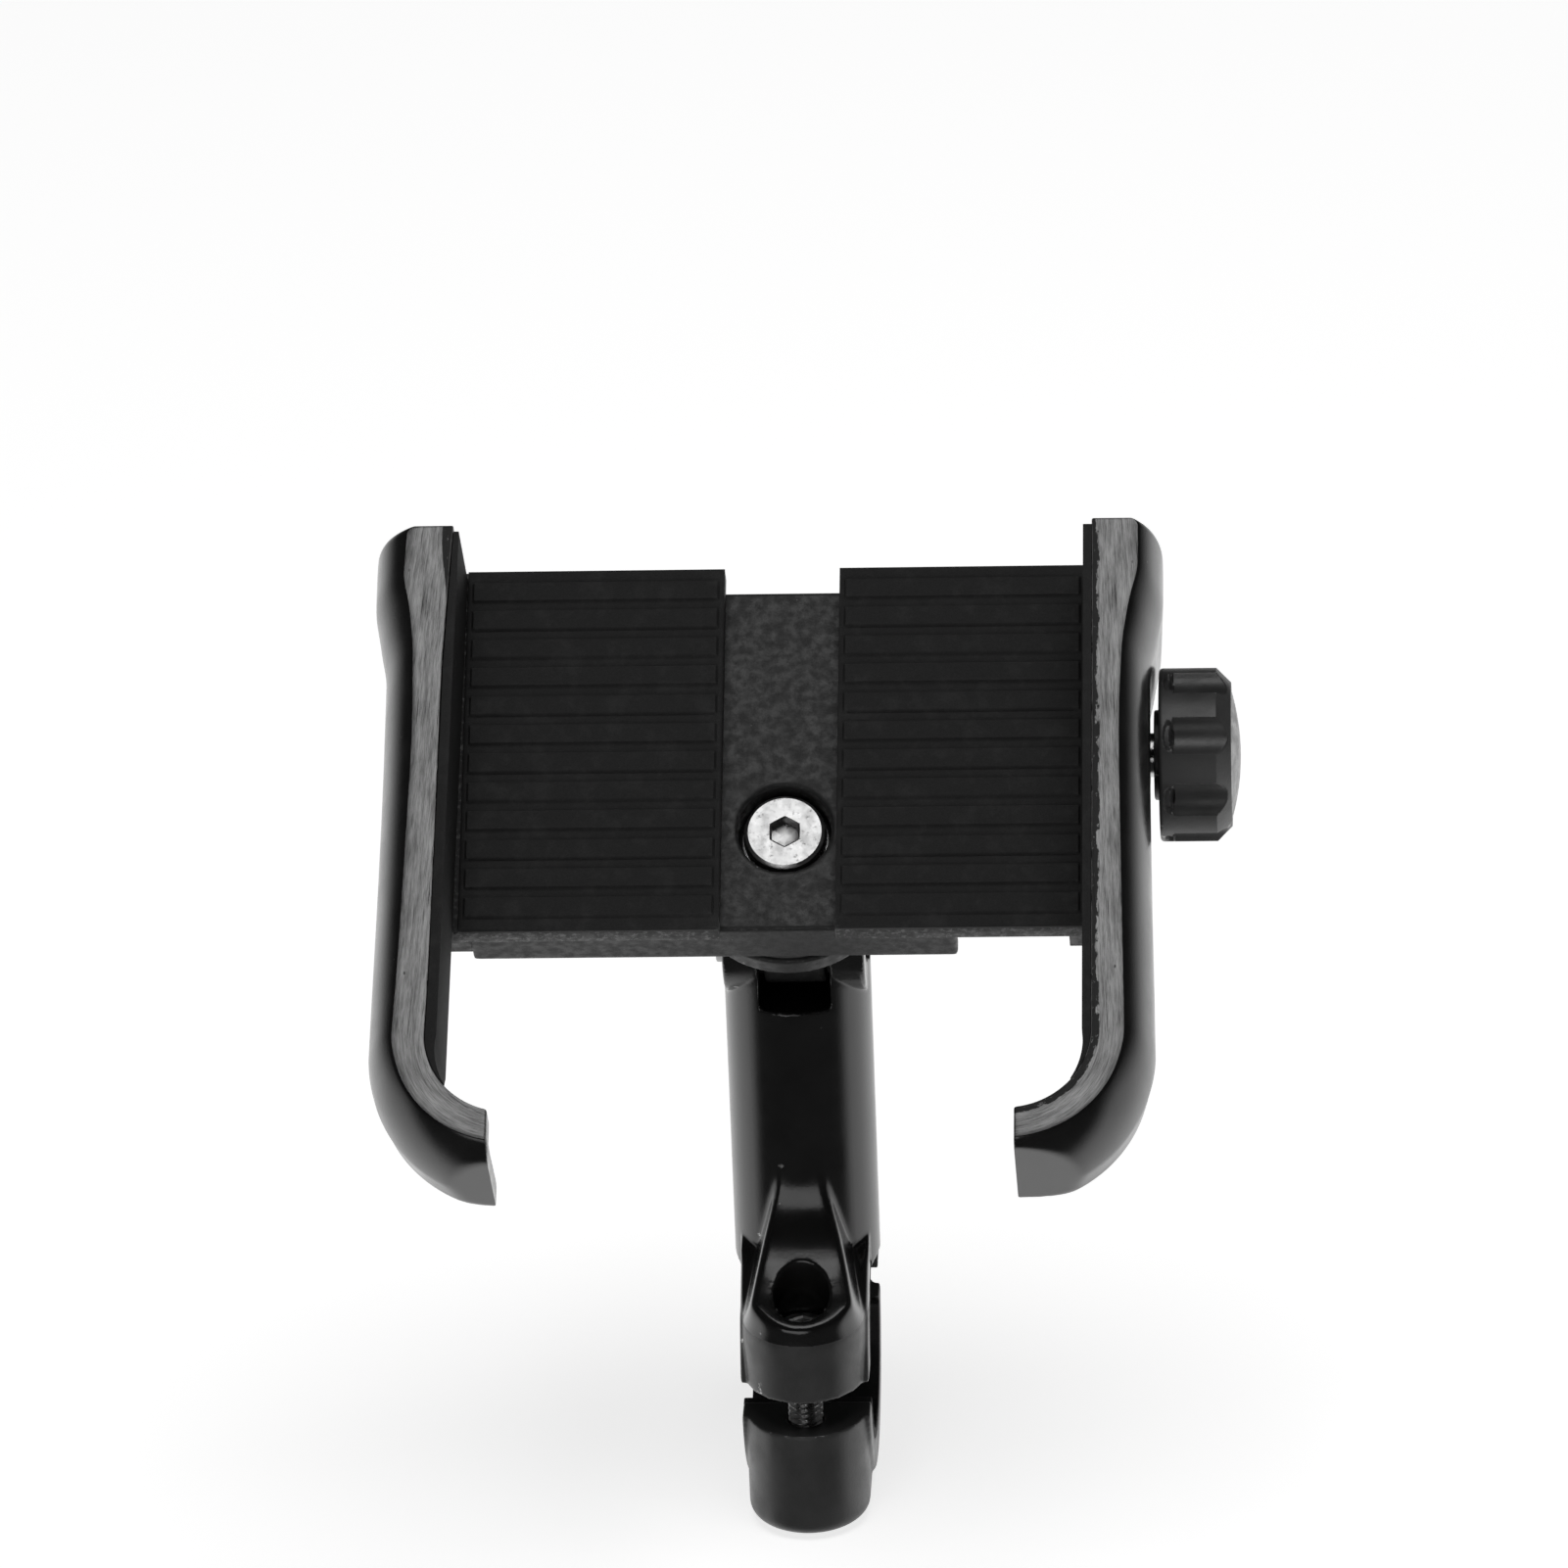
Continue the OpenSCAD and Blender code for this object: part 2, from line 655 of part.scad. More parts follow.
module retaining_ring() {
    color([0.5, 0.5, 0.52]) cradle_frame() translate([right_wall - flange_t, screw_y, screw_z]) difference() {
        rod_x(0.3, 1.1, retaining_r);
        rod_x(-1, 20, ring_groove_r);
        rotate([45, 0, 0]) box(-1, 20, -1.5, 1.5, 0, 9);
    }
}

knob_x = right_wall + waist_t + 0.8;     // inner face of the knob
hub_t = 0.6;
hub_r = 5.1;
knob_chamfer = 1.65;
flute_r = 2.6;
flute_start = 3.2;                 // the flutes' closed inner ends
flute_turn = 0.28;                 // of a flute's spacing
cap_r = 7.25;
cap_rise = 1;
cap_sink = 1.2;

module lead_screw() {
    color([0.72, 0.73, 0.75]) cradle_frame() translate([0, screw_y, screw_z]) difference() {
        union() {
            translate([shaft_end, 0, 0]) rotate([0, 90, 0]) thread(lead_r, screw_pitch, 30);
            rod_x(shaft_end + 24 - e, knob_x + knob_len - 3, lead_r);
        }
        difference() {
            rod_x(right_wall - flange_t + 0.25, right_wall - flange_t + 1.15, lead_r + 1);
            rod_x(0, 60, ring_groove_r);
        }
    }
}

module knob() {
    r = knob_d / 2;
    color([0.05, 0.05, 0.05]) cradle_frame() translate([knob_x, screw_y, screw_z]) difference() {
        union() {
            rotate([0, 90, 0]) rotate_extrude() polygon([
                [0, 0], [r - 0.4, 0], [r, 0.4], [r, knob_len - knob_chamfer], [r - knob_chamfer, knob_len],
                [0, knob_len]]);
            rod_x(-hub_t, e, hub_r);
        }
        for (i = [0:flutes - 1]) rotate([(i + flute_turn) * 360 / flutes, 0, 0])
            translate([flute_start, 0, r + flute_r - 1.25]) {
                rod_x(0, knob_len, flute_r);
                sphere(r = flute_r);
            }
        rod_x(-2, knob_len - 3, lead_r + fit);
        rod_x(knob_len - cap_sink, knob_len + 1, cap_r + fit);
    }
}

module knob_cap() {
    dome_r = (cap_r * cap_r + cap_rise * cap_rise) / (2 * cap_rise);
    color([0.62, 0.63, 0.64]) cradle_frame() translate([knob_x + knob_len, screw_y, screw_z]) intersection() {
        rod_x(-cap_sink, cap_rise, cap_r);
        translate([cap_rise - dome_r, 0, 0]) sphere(r = dome_r, $fn = 128);
    }
}

/* ---------- parts ---------- */

stem();
clamp_cap();
upper_liner();
lower_liner();
front_clamp_screw();
rear_clamp_screw();
tilt_bolt();
tilt_nut();
tilt_friction_washers();
tilt_bolt_washer();
tilt_knuckle();
swivel_disc();
swivel_bolt();
swivel_washer();
cradle_body();
lead_nut();
rod_bushes();
left_arm();
left_bracket();
left_bed_pad();
left_side_pad();
left_hook_pad();
left_bracket_screws();
left_arm_screws();
right_arm();
right_bracket();
right_bed_pad();
right_side_pad();
right_hook_pad();
right_arm_screws();
guide_rods();
screw_bush();
retaining_ring();
lead_screw();
knob();
knob_cap();
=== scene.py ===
"""Looks of a phone mount for a motorcycle handlebar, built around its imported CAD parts.

Shapes are drawn in millimetres in the frame of the part that they belong to, and placed in metres.
"""

import json
import math

import bmesh
import bpy
from mathutils import Matrix, Vector


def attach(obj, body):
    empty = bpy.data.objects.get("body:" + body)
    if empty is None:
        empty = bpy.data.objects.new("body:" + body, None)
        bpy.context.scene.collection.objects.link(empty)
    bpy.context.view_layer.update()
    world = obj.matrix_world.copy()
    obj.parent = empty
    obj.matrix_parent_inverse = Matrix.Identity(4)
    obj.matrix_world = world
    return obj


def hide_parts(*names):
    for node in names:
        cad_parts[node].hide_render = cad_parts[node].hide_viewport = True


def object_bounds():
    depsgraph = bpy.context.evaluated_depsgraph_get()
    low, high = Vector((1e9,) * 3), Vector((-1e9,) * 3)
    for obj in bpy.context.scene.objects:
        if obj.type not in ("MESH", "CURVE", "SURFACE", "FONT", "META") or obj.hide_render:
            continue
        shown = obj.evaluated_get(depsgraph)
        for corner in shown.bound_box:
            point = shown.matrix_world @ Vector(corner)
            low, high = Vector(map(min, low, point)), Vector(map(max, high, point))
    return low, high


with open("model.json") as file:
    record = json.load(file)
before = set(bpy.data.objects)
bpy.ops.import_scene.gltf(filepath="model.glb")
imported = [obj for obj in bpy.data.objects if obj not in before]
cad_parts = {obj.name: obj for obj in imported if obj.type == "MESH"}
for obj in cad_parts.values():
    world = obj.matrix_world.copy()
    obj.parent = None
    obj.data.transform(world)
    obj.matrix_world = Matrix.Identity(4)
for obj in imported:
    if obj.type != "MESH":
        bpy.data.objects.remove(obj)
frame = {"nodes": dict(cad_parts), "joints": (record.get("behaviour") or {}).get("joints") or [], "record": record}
cad_low, cad_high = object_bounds()

MM = 0.001
JOINTS = {j["name"]: j for j in frame["joints"]}
BODY_OF = {n: b for b, nodes in frame["record"]["behaviour"]["bodies"].items() for n in nodes}
SLOT_OF = {p["node"]: p["material_slot"] for p in frame["record"]["subparts"]}

# the cradle's own frame: X to the knob, Y up the phone, Z out of the phone's face
swivel_axis = JOINTS["swivel"]["axis"]
tilt_z = JOINTS["tilt"]["pos_m"][2]
cradle_lean = math.atan2(-swivel_axis[1], swivel_axis[2])
CRADLE = Matrix.Translation((0, 0, tilt_z)) @ Matrix.Rotation(cradle_lean, 4, "X")
STEM = Matrix.Identity(4)
TO_X = Matrix.Rotation(math.radians(90), 4, "Y")        # turns local Z to X
TO_MINUS_X = Matrix.Rotation(math.radians(-90), 4, "Y")
BOLT_HOLE_R = 2.6                                       # radius of the holes round the 5 mm bolts, in mm


def box_in(node, place=CRADLE):
    """Lowest and highest corner of a CAD node in the frame of place, in mm."""
    back = place.inverted()
    points = [back @ v.co / MM for v in frame["nodes"][node].data.vertices]
    return [Vector([pick(p[i] for p in points) for i in range(3)]) for pick in (min, max)]


# ---------------------------------------------------------------- materials

MATERIALS = {}


class Graph:
    """A material's node tree, with short calls for the nodes that the finishes share."""

    def __init__(self, name):
        self.material = bpy.data.materials.new(name)
        self.material.use_nodes = True
        self.tree = self.material.node_tree
        self.shader = self.tree.nodes["Principled BSDF"]

    def node(self, kind, settings=None, **inputs):
        """Adds a node. i0, i1 and so on are inputs by place; others go by name, with _ for a space."""
        made = self.tree.nodes.new("ShaderNode" + kind)
        for key, value in (settings or {}).items():
            setattr(made, key, value)
        for key, value in inputs.items():
            by_place = key[0] == "i" and key[1:].isdigit()
            self.put(made.inputs[int(key[1:]) if by_place else key.replace("_", " ")], value)
        return made

    def put(self, socket, value):
        if isinstance(value, bpy.types.NodeSocket):
            self.tree.links.new(value, socket)
        else:
            socket.default_value = value

    def set(self, **inputs):
        for key, value in inputs.items():
            self.put(self.shader.inputs[key.replace("_", " ")], value)

    def millimetres(self):
        coords = self.node("TexCoord").outputs["Object"]
        return self.node("VectorMath", {"operation": "SCALE"}, i0=coords, Scale=1 / MM).outputs[0]

    def stretched(self, vector, scale, turn=(0, 0, 0)):
        return self.node("Mapping", Vector=vector, Scale=scale, Rotation=turn).outputs[0]

    def noise(self, vector, scale, detail=3.0, rough=0.5, distortion=0.0):
        return self.node("TexNoise", Vector=vector, Scale=scale, Detail=detail, Roughness=rough,
                         Distortion=distortion).outputs["Fac"]

    def cells(self, vector, scale):
        return self.node("TexVoronoi", Vector=vector, Scale=scale).outputs["Distance"]

    def ramp(self, value, low, high, a=0.0, b=1.0):
        """a below low, b above high, and a smooth step between."""
        return self.node("MapRange", {"interpolation_type": "SMOOTHSTEP"}, Value=value, From_Min=low,
                         From_Max=high, To_Min=a, To_Max=b).outputs[0]

    def math(self, operation, a, b=0.0):
        return self.node("Math", {"operation": operation}, i0=a, i1=b).outputs[0]

    def mix(self, factor, a, b):
        made = self.node("Mix", {"data_type": "RGBA"}, Factor=factor)
        self.put(made.inputs[6], a)
        self.put(made.inputs[7], b)
        return made.outputs[2]

    def edges(self, low, high):
        """1 on sharp outer edges, 0 elsewhere."""
        return self.ramp(self.node("NewGeometry").outputs["Pointiness"], low, high)

    def bump(self, height, distance, strength=1.0):
        self.set(Normal=self.node("Bump", Height=height, Distance=distance, Strength=strength).outputs[0])


def grey(value, warm=0.0):
    return (value * (1 + warm), value, value * (1 - warm), 1)


def coated_metal(name, base, rough, peel, wear, speck=0.35, cloud_size=4.5):
    """Black coating on aluminium: faint orange peel, dust, and bare metal on worn edges."""
    g = Graph(name)
    at = g.millimetres()
    cloud = g.noise(at, 1 / cloud_size, 4, 0.6)
    fine = g.noise(at, 3.2, 3)
    worn = g.math("MULTIPLY", g.edges(0.53, 0.58), g.ramp(g.noise(at, 1.6, 5, 0.7), 0.5, 0.62, 0, wear))
    nick = g.math("MULTIPLY", g.ramp(g.cells(at, 0.42), 0.045, 0.02),
                  g.ramp(g.noise(at, 0.3, 2), 0.55, 0.62, 0, speck))
    bare = g.math("MAXIMUM", worn, nick)
    black = g.mix(cloud, grey(base * 0.7), grey(base * 1.35))
    g.set(Base_Color=g.mix(bare, black, grey(0.5)), Metallic=bare,
          Roughness=g.math("ADD", g.ramp(cloud, 0.3, 0.7, rough * 0.8, rough * 1.2),
                           g.ramp(g.noise(at, 9, 2), 0.4, 0.7, 0, rough * 0.2)),
          IOR=1.5)
    g.bump(g.math("ADD", fine, g.math("MULTIPLY", bare, -0.6)), peel * MM)
    return g.material


def brushed_face(name, strip, wedge):
    """Front face of an arm: bare metal brushed lengthwise, with black left along its inner edge.

    The mesh carries flow = (distance outwards, distance along the arm, depth), in mm.
    strip is the greatest width of the black that is left, and wedge is its extra width at the arm's top.
    """
    g = Graph(name)
    flow = g.node("Attribute", {"attribute_name": "flow"}).outputs["Vector"]
    parts = g.node("SeparateXYZ", Vector=flow)
    out, along = parts.outputs[0], parts.outputs[1]
    sway = g.stretched(flow, (1, 1, 1), (0, 0, math.radians(2.4)))
    coarse = g.noise(g.stretched(sway, (3.2, 0.16, 1)), 1, 5, 0.62, 0.25)
    grain = g.noise(g.stretched(sway, (11, 0.5, 1)), 1, 6, 0.7, 0.2)
    hair = g.noise(g.stretched(flow, (34, 1.1, 1)), 1, 3, 0.6)
    patch = g.noise(g.stretched(flow, (0.5, 0.16, 1)), 1, 3, 0.55)
    metal = g.math("ADD", g.math("MULTIPLY", coarse, 0.28),
                   g.math("ADD", g.math("MULTIPLY", grain, 0.54), g.math("MULTIPLY", patch, 0.18)))
    shade = g.node("ValToRGB", Fac=g.ramp(metal, 0.36, 0.64))
    shade.color_ramp.elements[0].color = grey(0.10)
    shade.color_ramp.elements[1].color = grey(0.44)
    # pits and lengthwise scratches
    pit = g.math("MULTIPLY", g.ramp(g.cells(g.stretched(flow, (0.42, 0.2, 1)), 1), 0.055, 0.03),
                 g.ramp(patch, 0.44, 0.56))
    scratch = g.math("MULTIPLY", g.ramp(g.noise(g.stretched(sway, (5.5, 0.14, 1)), 1, 2, 0.5), 0.665, 0.70),
                     g.ramp(hair, 0.35, 0.5))
    dark = g.math("MAXIMUM", g.math("MULTIPLY", pit, 0.9), g.math("MULTIPLY", scratch, 0.75))
    # black coating left along the inner edge, wider near the top
    ragged = g.noise(g.stretched(flow, (0.6, 0.22, 1)), 1, 5, 0.65)
    width = g.math("ADD", g.ramp(ragged, 0.34, 0.62, 0.35 * strip, strip), g.ramp(along, 10, 1, 0, wedge))
    left = g.ramp(g.math("SUBTRACT", out, width), 0.1, -0.05)
    left = g.math("MULTIPLY", left, g.ramp(g.noise(g.stretched(flow, (2.2, 0.9, 1)), 1, 4, 0.6), 0.30, 0.40))
    # bright rubbed edge
    rub = g.math("MULTIPLY", g.ramp(out, 0.15, 0.06),
                 g.ramp(g.noise(g.stretched(flow, (1, 0.35, 1)), 1, 4), 0.36, 0.56))
    colour = g.mix(dark, shade.outputs[0], grey(0.02))
    colour = g.mix(left, colour, grey(0.016))
    colour = g.mix(rub, colour, grey(0.4))
    bare = g.math("SUBTRACT", 1.0, g.math("MULTIPLY", left, g.math("SUBTRACT", 1.0, rub)))
    g.set(Base_Color=colour, Metallic=bare,
          Roughness=g.math("SUBTRACT", g.ramp(grain, 0.3, 0.7, 0.5, 0.62), g.math("MULTIPLY", rub, 0.25)),
          Specular_IOR_Level=0.25, Anisotropic=0.35)
    height = g.math("ADD", g.math("MULTIPLY", grain, 0.6), g.math("MULTIPLY", hair, 0.4))
    height = g.math("SUBTRACT", height, g.math("MULTIPLY", dark, 1.5))
    g.bump(g.math("ADD", height, g.math("MULTIPLY", left, 0.8)), 0.018 * MM, 0.8)
    return g.material


def plated_steel(name, base, rough, tint=0.0):
    """Bright plated steel with turning marks, stains and dull patches."""
    g = Graph(name)
    at = g.millimetres()
    cloud = g.noise(at, 0.7, 5, 0.6)
    fine = g.noise(at, 14, 3, 0.6)
    stain = g.ramp(g.noise(at, 1.8, 5, 0.7), 0.56, 0.68, 0, 0.55)
    bright = g.mix(cloud, grey(base * 0.85, tint), grey(base * 1.12, tint))
    g.set(Base_Color=g.mix(stain, bright, grey(base * 0.35, tint)), Metallic=1.0,
          Roughness=g.math("ADD", g.ramp(cloud, 0.3, 0.7, rough * 0.75, rough * 1.3),
                           g.math("MULTIPLY", stain, 0.2)))
    g.bump(fine, 0.006 * MM, 0.7)
    return g.material


def rubber(name, base, rough):
    """Matt moulded rubber: fine pitting, pale dust, and lighter rubbed edges."""
    g = Graph(name)
    at = g.millimetres()
    pits = g.noise(at, 6.5, 4, 0.65)
    dust = g.ramp(g.noise(at, 0.35, 5, 0.65), 0.46, 0.72, 0, 0.5)
    colour = g.mix(dust, grey(base), grey(base * 2.1))
    colour = g.mix(g.edges(0.52, 0.6), colour, grey(base * 2.6))
    g.set(Base_Color=colour, Roughness=g.ramp(pits, 0.3, 0.7, rough * 0.88, min(1.0, rough * 1.1)),
          Specular_IOR_Level=0.35)
    g.bump(g.math("ADD", pits, g.math("MULTIPLY", g.noise(at, 1.1, 3), 0.5)), 0.035 * MM, 0.8)
    return g.material


def matt_nylon(name, base):
    """Matt moulded nylon: fine pitting on a slightly cloudy black."""
    g = Graph(name)
    at = g.millimetres()
    pits = g.noise(at, 4.0, 5, 0.6)
    g.set(Base_Color=g.mix(g.noise(at, 0.5, 4), grey(base * 0.8), grey(base * 1.3)),
          Roughness=g.ramp(pits, 0.3, 0.7, 0.5, 0.66))
    g.bump(pits, 0.02 * MM, 0.7)
    return g.material


def make_materials():
    MATERIALS.update(
        black_gloss=coated_metal("gloss_black_coating", 0.008, 0.17, 0.008, 0.8),
        # lug_satin: satin finish on the lugs and the cap; its lighter base colour is painted reflection of the
        # bright surroundings
        lug_satin=coated_metal("satin_lug_face_painted_reflection", 0.03, 0.4, 0.012, 0.9),
        arm_black=coated_metal("arm_black_coating", 0.007, 0.2, 0.008, 0.6),
        black_satin=coated_metal("satin_black_anodising", 0.012, 0.52, 0.014, 0.5, cloud_size=1.1),
        knob_black=coated_metal("knob_black_coating", 0.042, 0.4, 0.02, 1.0),
        left_face=brushed_face("brushed_face_left", 0.12, 1.1),
        right_face=brushed_face("brushed_face_right", 0.95, 0.0),
        zinc=plated_steel("bright_zinc", 0.42, 0.34),
        steel=plated_steel("ground_steel", 0.6, 0.22),
        brass=plated_steel("machined_brass", 0.5, 0.3, 0.35),
        cap_silver=plated_steel("satin_aluminium", 0.27, 0.42),
        rubber=rubber("matt_rubber", 0.018, 0.8),
        nylon=matt_nylon("black_nylon", 0.02),
    )


# ---------------------------------------------------------------- mesh tools


def to_mesh(name, verts, faces, place):
    """A mesh object from points in mm in the frame of place."""
    mesh = bpy.data.meshes.new(name)
    mesh.from_pydata([place @ (Vector(v) * MM) for v in verts], [], faces)
    mesh.validate()
    return link(name, mesh)


def link(name, mesh):
    made = bpy.data.objects.new(name, mesh)
    bpy.context.scene.collection.objects.link(made)
    return made


def settle(made, crease=30):
    """Points the faces outwards and shades them smooth up to an angle of crease."""
    work = bmesh.new()
    work.from_mesh(made.data)
    bmesh.ops.recalc_face_normals(work, faces=work.faces)
    for face in work.faces:
        face.smooth = True
    for edge in work.edges:
        edge.smooth = not (len(edge.link_faces) == 2 and edge.calc_face_angle(0) > math.radians(crease))
    work.to_mesh(made.data)
    work.free()


def stands_for(made, *nodes, material=None):
    """The piece rides with these CAD nodes, replaces them and takes their finish."""
    if material is not None or not made.data.materials:
        made.data.materials.clear()
        made.data.materials.append(material or MATERIALS[SLOT_OF[nodes[0]]])
    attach(made, BODY_OF[nodes[0]])
    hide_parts(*nodes)
    return made


def frozen(made):
    """Applies the object's modifiers."""
    seen = made.evaluated_get(bpy.context.evaluated_depsgraph_get())
    mesh = bpy.data.meshes.new_from_object(seen, preserve_all_data_layers=True,
                                           depsgraph=bpy.context.evaluated_depsgraph_get())
    made.modifiers.clear()
    old, made.data = made.data, mesh
    bpy.data.meshes.remove(old)
    return made


def joined(made, others):
    """Adds the meshes of others to made."""
    work = bmesh.new()
    work.from_mesh(made.data)
    for other in others:
        work.from_mesh(other.data)
        bpy.data.objects.remove(other)
    work.to_mesh(made.data)
    work.free()
    return made


def turned_rings(rings, segments):
    """Points and faces of a closed surface round Z; a ring is (z, radius) or (z, radius at an angle)."""
    angles = [2 * math.pi * i / segments for i in range(segments)]
    verts = [(0, 0, rings[0][0])]
    for z, radius in rings:
        for a in angles:
            r = radius(a) if callable(radius) else radius
            verts.append((r * math.cos(a), r * math.sin(a), z))
    verts.append((0, 0, rings[-1][0]))
    last, faces = len(verts) - 1, []
    for i in range(segments):
        j = (i + 1) % segments
        faces.append((0, 1 + j, 1 + i))
        for k in range(len(rings) - 1):
            a, b = 1 + k * segments, 1 + (k + 1) * segments
            faces.append((a + i, a + j, b + j, b + i))
        end = 1 + (len(rings) - 1) * segments
        faces.append((end + i, end + j, last))
    return verts, faces


def turned(name, rings, place, segments=96):
    made = to_mesh(name, *turned_rings(rings, segments), place)
    settle(made)
    return made


def tube(name, outer, inner, z0, z1, edge, place, segments=96):
    """A ring with flat ends and its edges broken by edge; outer may be a radius at an angle."""
    third = edge * 0.3
    # corners of the section as (1 at the outer wall or 0 at the inner, across, up)
    outline = [(1, 0, edge), (1, 0, -edge), (1, -third, -third), (1, -edge, 0),
               (0, edge, 0), (0, third, -third), (0, 0, -edge), (0, 0, edge),
               (0, third, third), (0, edge, 0), (1, -edge, 0), (1, -third, third)]
    tops = range(1, 7)                                  # the corners at z1
    count, verts, faces = len(outline), [], []
    for i in range(segments):
        a = 2 * math.pi * i / segments
        wall = (inner, outer(a) if callable(outer) else outer)
        for k, (side, across, up) in enumerate(outline):
            r = wall[side] + across
            verts.append((r * math.cos(a), r * math.sin(a), (z1 if k in tops else z0) + up))
    for i in range(segments):
        j = (i + 1) % segments
        for k in range(count):
            m = (k + 1) % count
            faces.append((i * count + k, j * count + k, j * count + m, i * count + m))
    made = to_mesh(name, verts, faces, place)
    settle(made)
    return made


def hexagon(across):
    """Radius of a hexagon, by its width across flats, at an angle."""
    return lambda a: across / 2 / math.cos((a + math.pi / 6) % (math.pi / 3) - math.pi / 6)


def helix(radius, pitch, z0, z1, steps=8):
    """Rings of a screw thread; the crests fade at both ends."""
    depth, rings = pitch * 0.54, []
    count = max(2, round((z1 - z0) / pitch * steps))
    for k in range(count + 1):
        z = z0 + (z1 - z0) * k / count
        fade = min(1.0, (z - z0) / pitch, (z1 - z) / pitch)

        def at(a, z=z, fade=fade):
            turn = (z / pitch - a / (2 * math.pi)) % 1.0
            tooth = min(1.0, max(0.0, 1.35 * (1 - abs(2 * turn - 1)) - 0.12))
            return radius - depth + depth * tooth * fade

        rings.append((z, at))
    return rings


def cap_screw(name, place, radius, length, head_r, head_h, key, pitch, plain=0.0):
    """Socket cap screw with its seat at z = 0: helical thread, knurled head, hexagon socket."""
    knurls, segments = 36, 144
    edge = 0.12 * head_r
    socket = hexagon(key)

    def knurled(a):
        return head_r - 0.09 * (0.5 + 0.5 * math.cos(a * knurls))

    shank = helix(radius, pitch, -length, -plain - 0.3) + [(-plain, radius), (0, radius)]
    head = [(0, head_r - edge * 0.5), (edge * 0.3, head_r - 0.1),
            (edge * 0.6, knurled), (head_h - edge * 1.6, knurled),
            (head_h - edge * 1.2, head_r - 0.1), (head_h - edge * 0.5, head_r - edge * 0.35),
            (head_h, head_r - edge), (head_h, lambda a: socket(a) + 0.22),
            (head_h - 0.2, socket), (head_h * 0.45, socket),
            (head_h * 0.45 - 0.25, lambda a: socket(a) * 0.4)]
    return turned(name, shank + head, place, segments)


def countersunk(name, place, radius, length, head_r, key):
    """Flat countersunk screw, top at z = 0, pointing to -Z."""
    socket = hexagon(key)
    cone = head_r - radius
    rings = helix(radius, 0.5, -length, -cone - 0.4, 6)
    rings += [(-cone, radius), (-0.12, head_r - 0.06), (-0.04, head_r), (0, head_r - 0.1),
              (0, lambda a: socket(a) + 0.12), (-0.12, socket), (-1.0, socket),
              (-1.15, lambda a: socket(a) * 0.4)]
    return turned(name, rings, place)


def cast_copy(name, node, voxel, rounds, place=STEM, softer=None, more=0):
    """The node's solid with every edge and inner corner softened, as on a casting.

    softer gives the share, at a point in mm, that more rounds of smoothing take.
    """
    back = place.inverted()
    mesh = frame["nodes"][node].data.copy()
    mesh.transform(Matrix.Scale(1 / MM, 4) @ back)
    made = link(name, mesh)
    remesh = made.modifiers.new("skin", "REMESH")
    remesh.mode = "VOXEL"
    remesh.voxel_size = voxel
    soft = made.modifiers.new("soft", "SMOOTH")
    soft.factor, soft.iterations = 0.5, rounds
    frozen(made)
    if softer:
        group = made.vertex_groups.new(name="softer")
        for vertex in made.data.vertices:
            share = softer(vertex.co)
            if share > 0.01:
                group.add([vertex.index], share, "REPLACE")
        extra = made.modifiers.new("softer", "SMOOTH")
        extra.factor, extra.iterations, extra.vertex_group = 0.5, more, "softer"
        frozen(made)
        made.vertex_groups.clear()
    made.data.transform(place @ Matrix.Scale(MM, 4))
    made.data.materials.clear()
    for face in made.data.polygons:
        face.use_smooth = True
    return made


def bevelled_copy(name, node, width, segments=3, limit=32):
    """The node's solid with its sharp edges rounded by width, in mm."""
    work = bmesh.new()
    work.from_mesh(frame["nodes"][node].data)
    bmesh.ops.remove_doubles(work, verts=work.verts, dist=0.002 * MM)
    bmesh.ops.dissolve_limit(work, angle_limit=math.radians(0.6), verts=work.verts, edges=work.edges)
    mesh = bpy.data.meshes.new(name)
    work.to_mesh(mesh)
    work.free()
    mesh.materials.clear()
    made = link(name, mesh)
    bevel = made.modifiers.new("edges", "BEVEL")
    bevel.width, bevel.segments = width * MM, segments
    bevel.limit_method, bevel.angle_limit = "ANGLE", math.radians(limit)
    bevel.miter_outer = "MITER_ARC"
    frozen(made)
    settle(made, 40)
    return made


def drilled(made, cutters):
    """Takes the cutters out of the piece."""
    for cutter in cutters:
        hole = made.modifiers.new("hole", "BOOLEAN")
        hole.operation, hole.solver, hole.object = "DIFFERENCE", "EXACT", cutter
        frozen(made)
        bpy.data.objects.remove(cutter)
    return made


# ---------------------------------------------------------------- arms


def smooth_lookup(x, table):
    """Value at x on a smooth curve through the table's points, which never overshoots them."""
    xs, ys = [p[0] for p in table], [p[1] for p in table]
    x = min(max(x, xs[0]), xs[-1])
    slopes = [(ys[i + 1] - ys[i]) / (xs[i + 1] - xs[i]) for i in range(len(xs) - 1)]
    tangents = [slopes[0]]
    for a, b in zip(slopes, slopes[1:]):
        tangents.append(0 if a * b <= 0 else 2 * a * b / (a + b))
    tangents.append(slopes[-1])
    i = max(k for k in range(len(xs) - 1) if xs[k] <= x)
    h = xs[i + 1] - xs[i]
    t = (x - xs[i]) / h
    return ((1 + 2 * t) * (1 - t) ** 2 * ys[i] + t * (1 - t) ** 2 * h * tangents[i]
            + t * t * (3 - 2 * t) * ys[i + 1] + t * t * (t - 1) * h * tangents[i + 1])


def ease(t):
    t = min(1.0, max(0.0, t))
    return t * t * (3 - 2 * t)


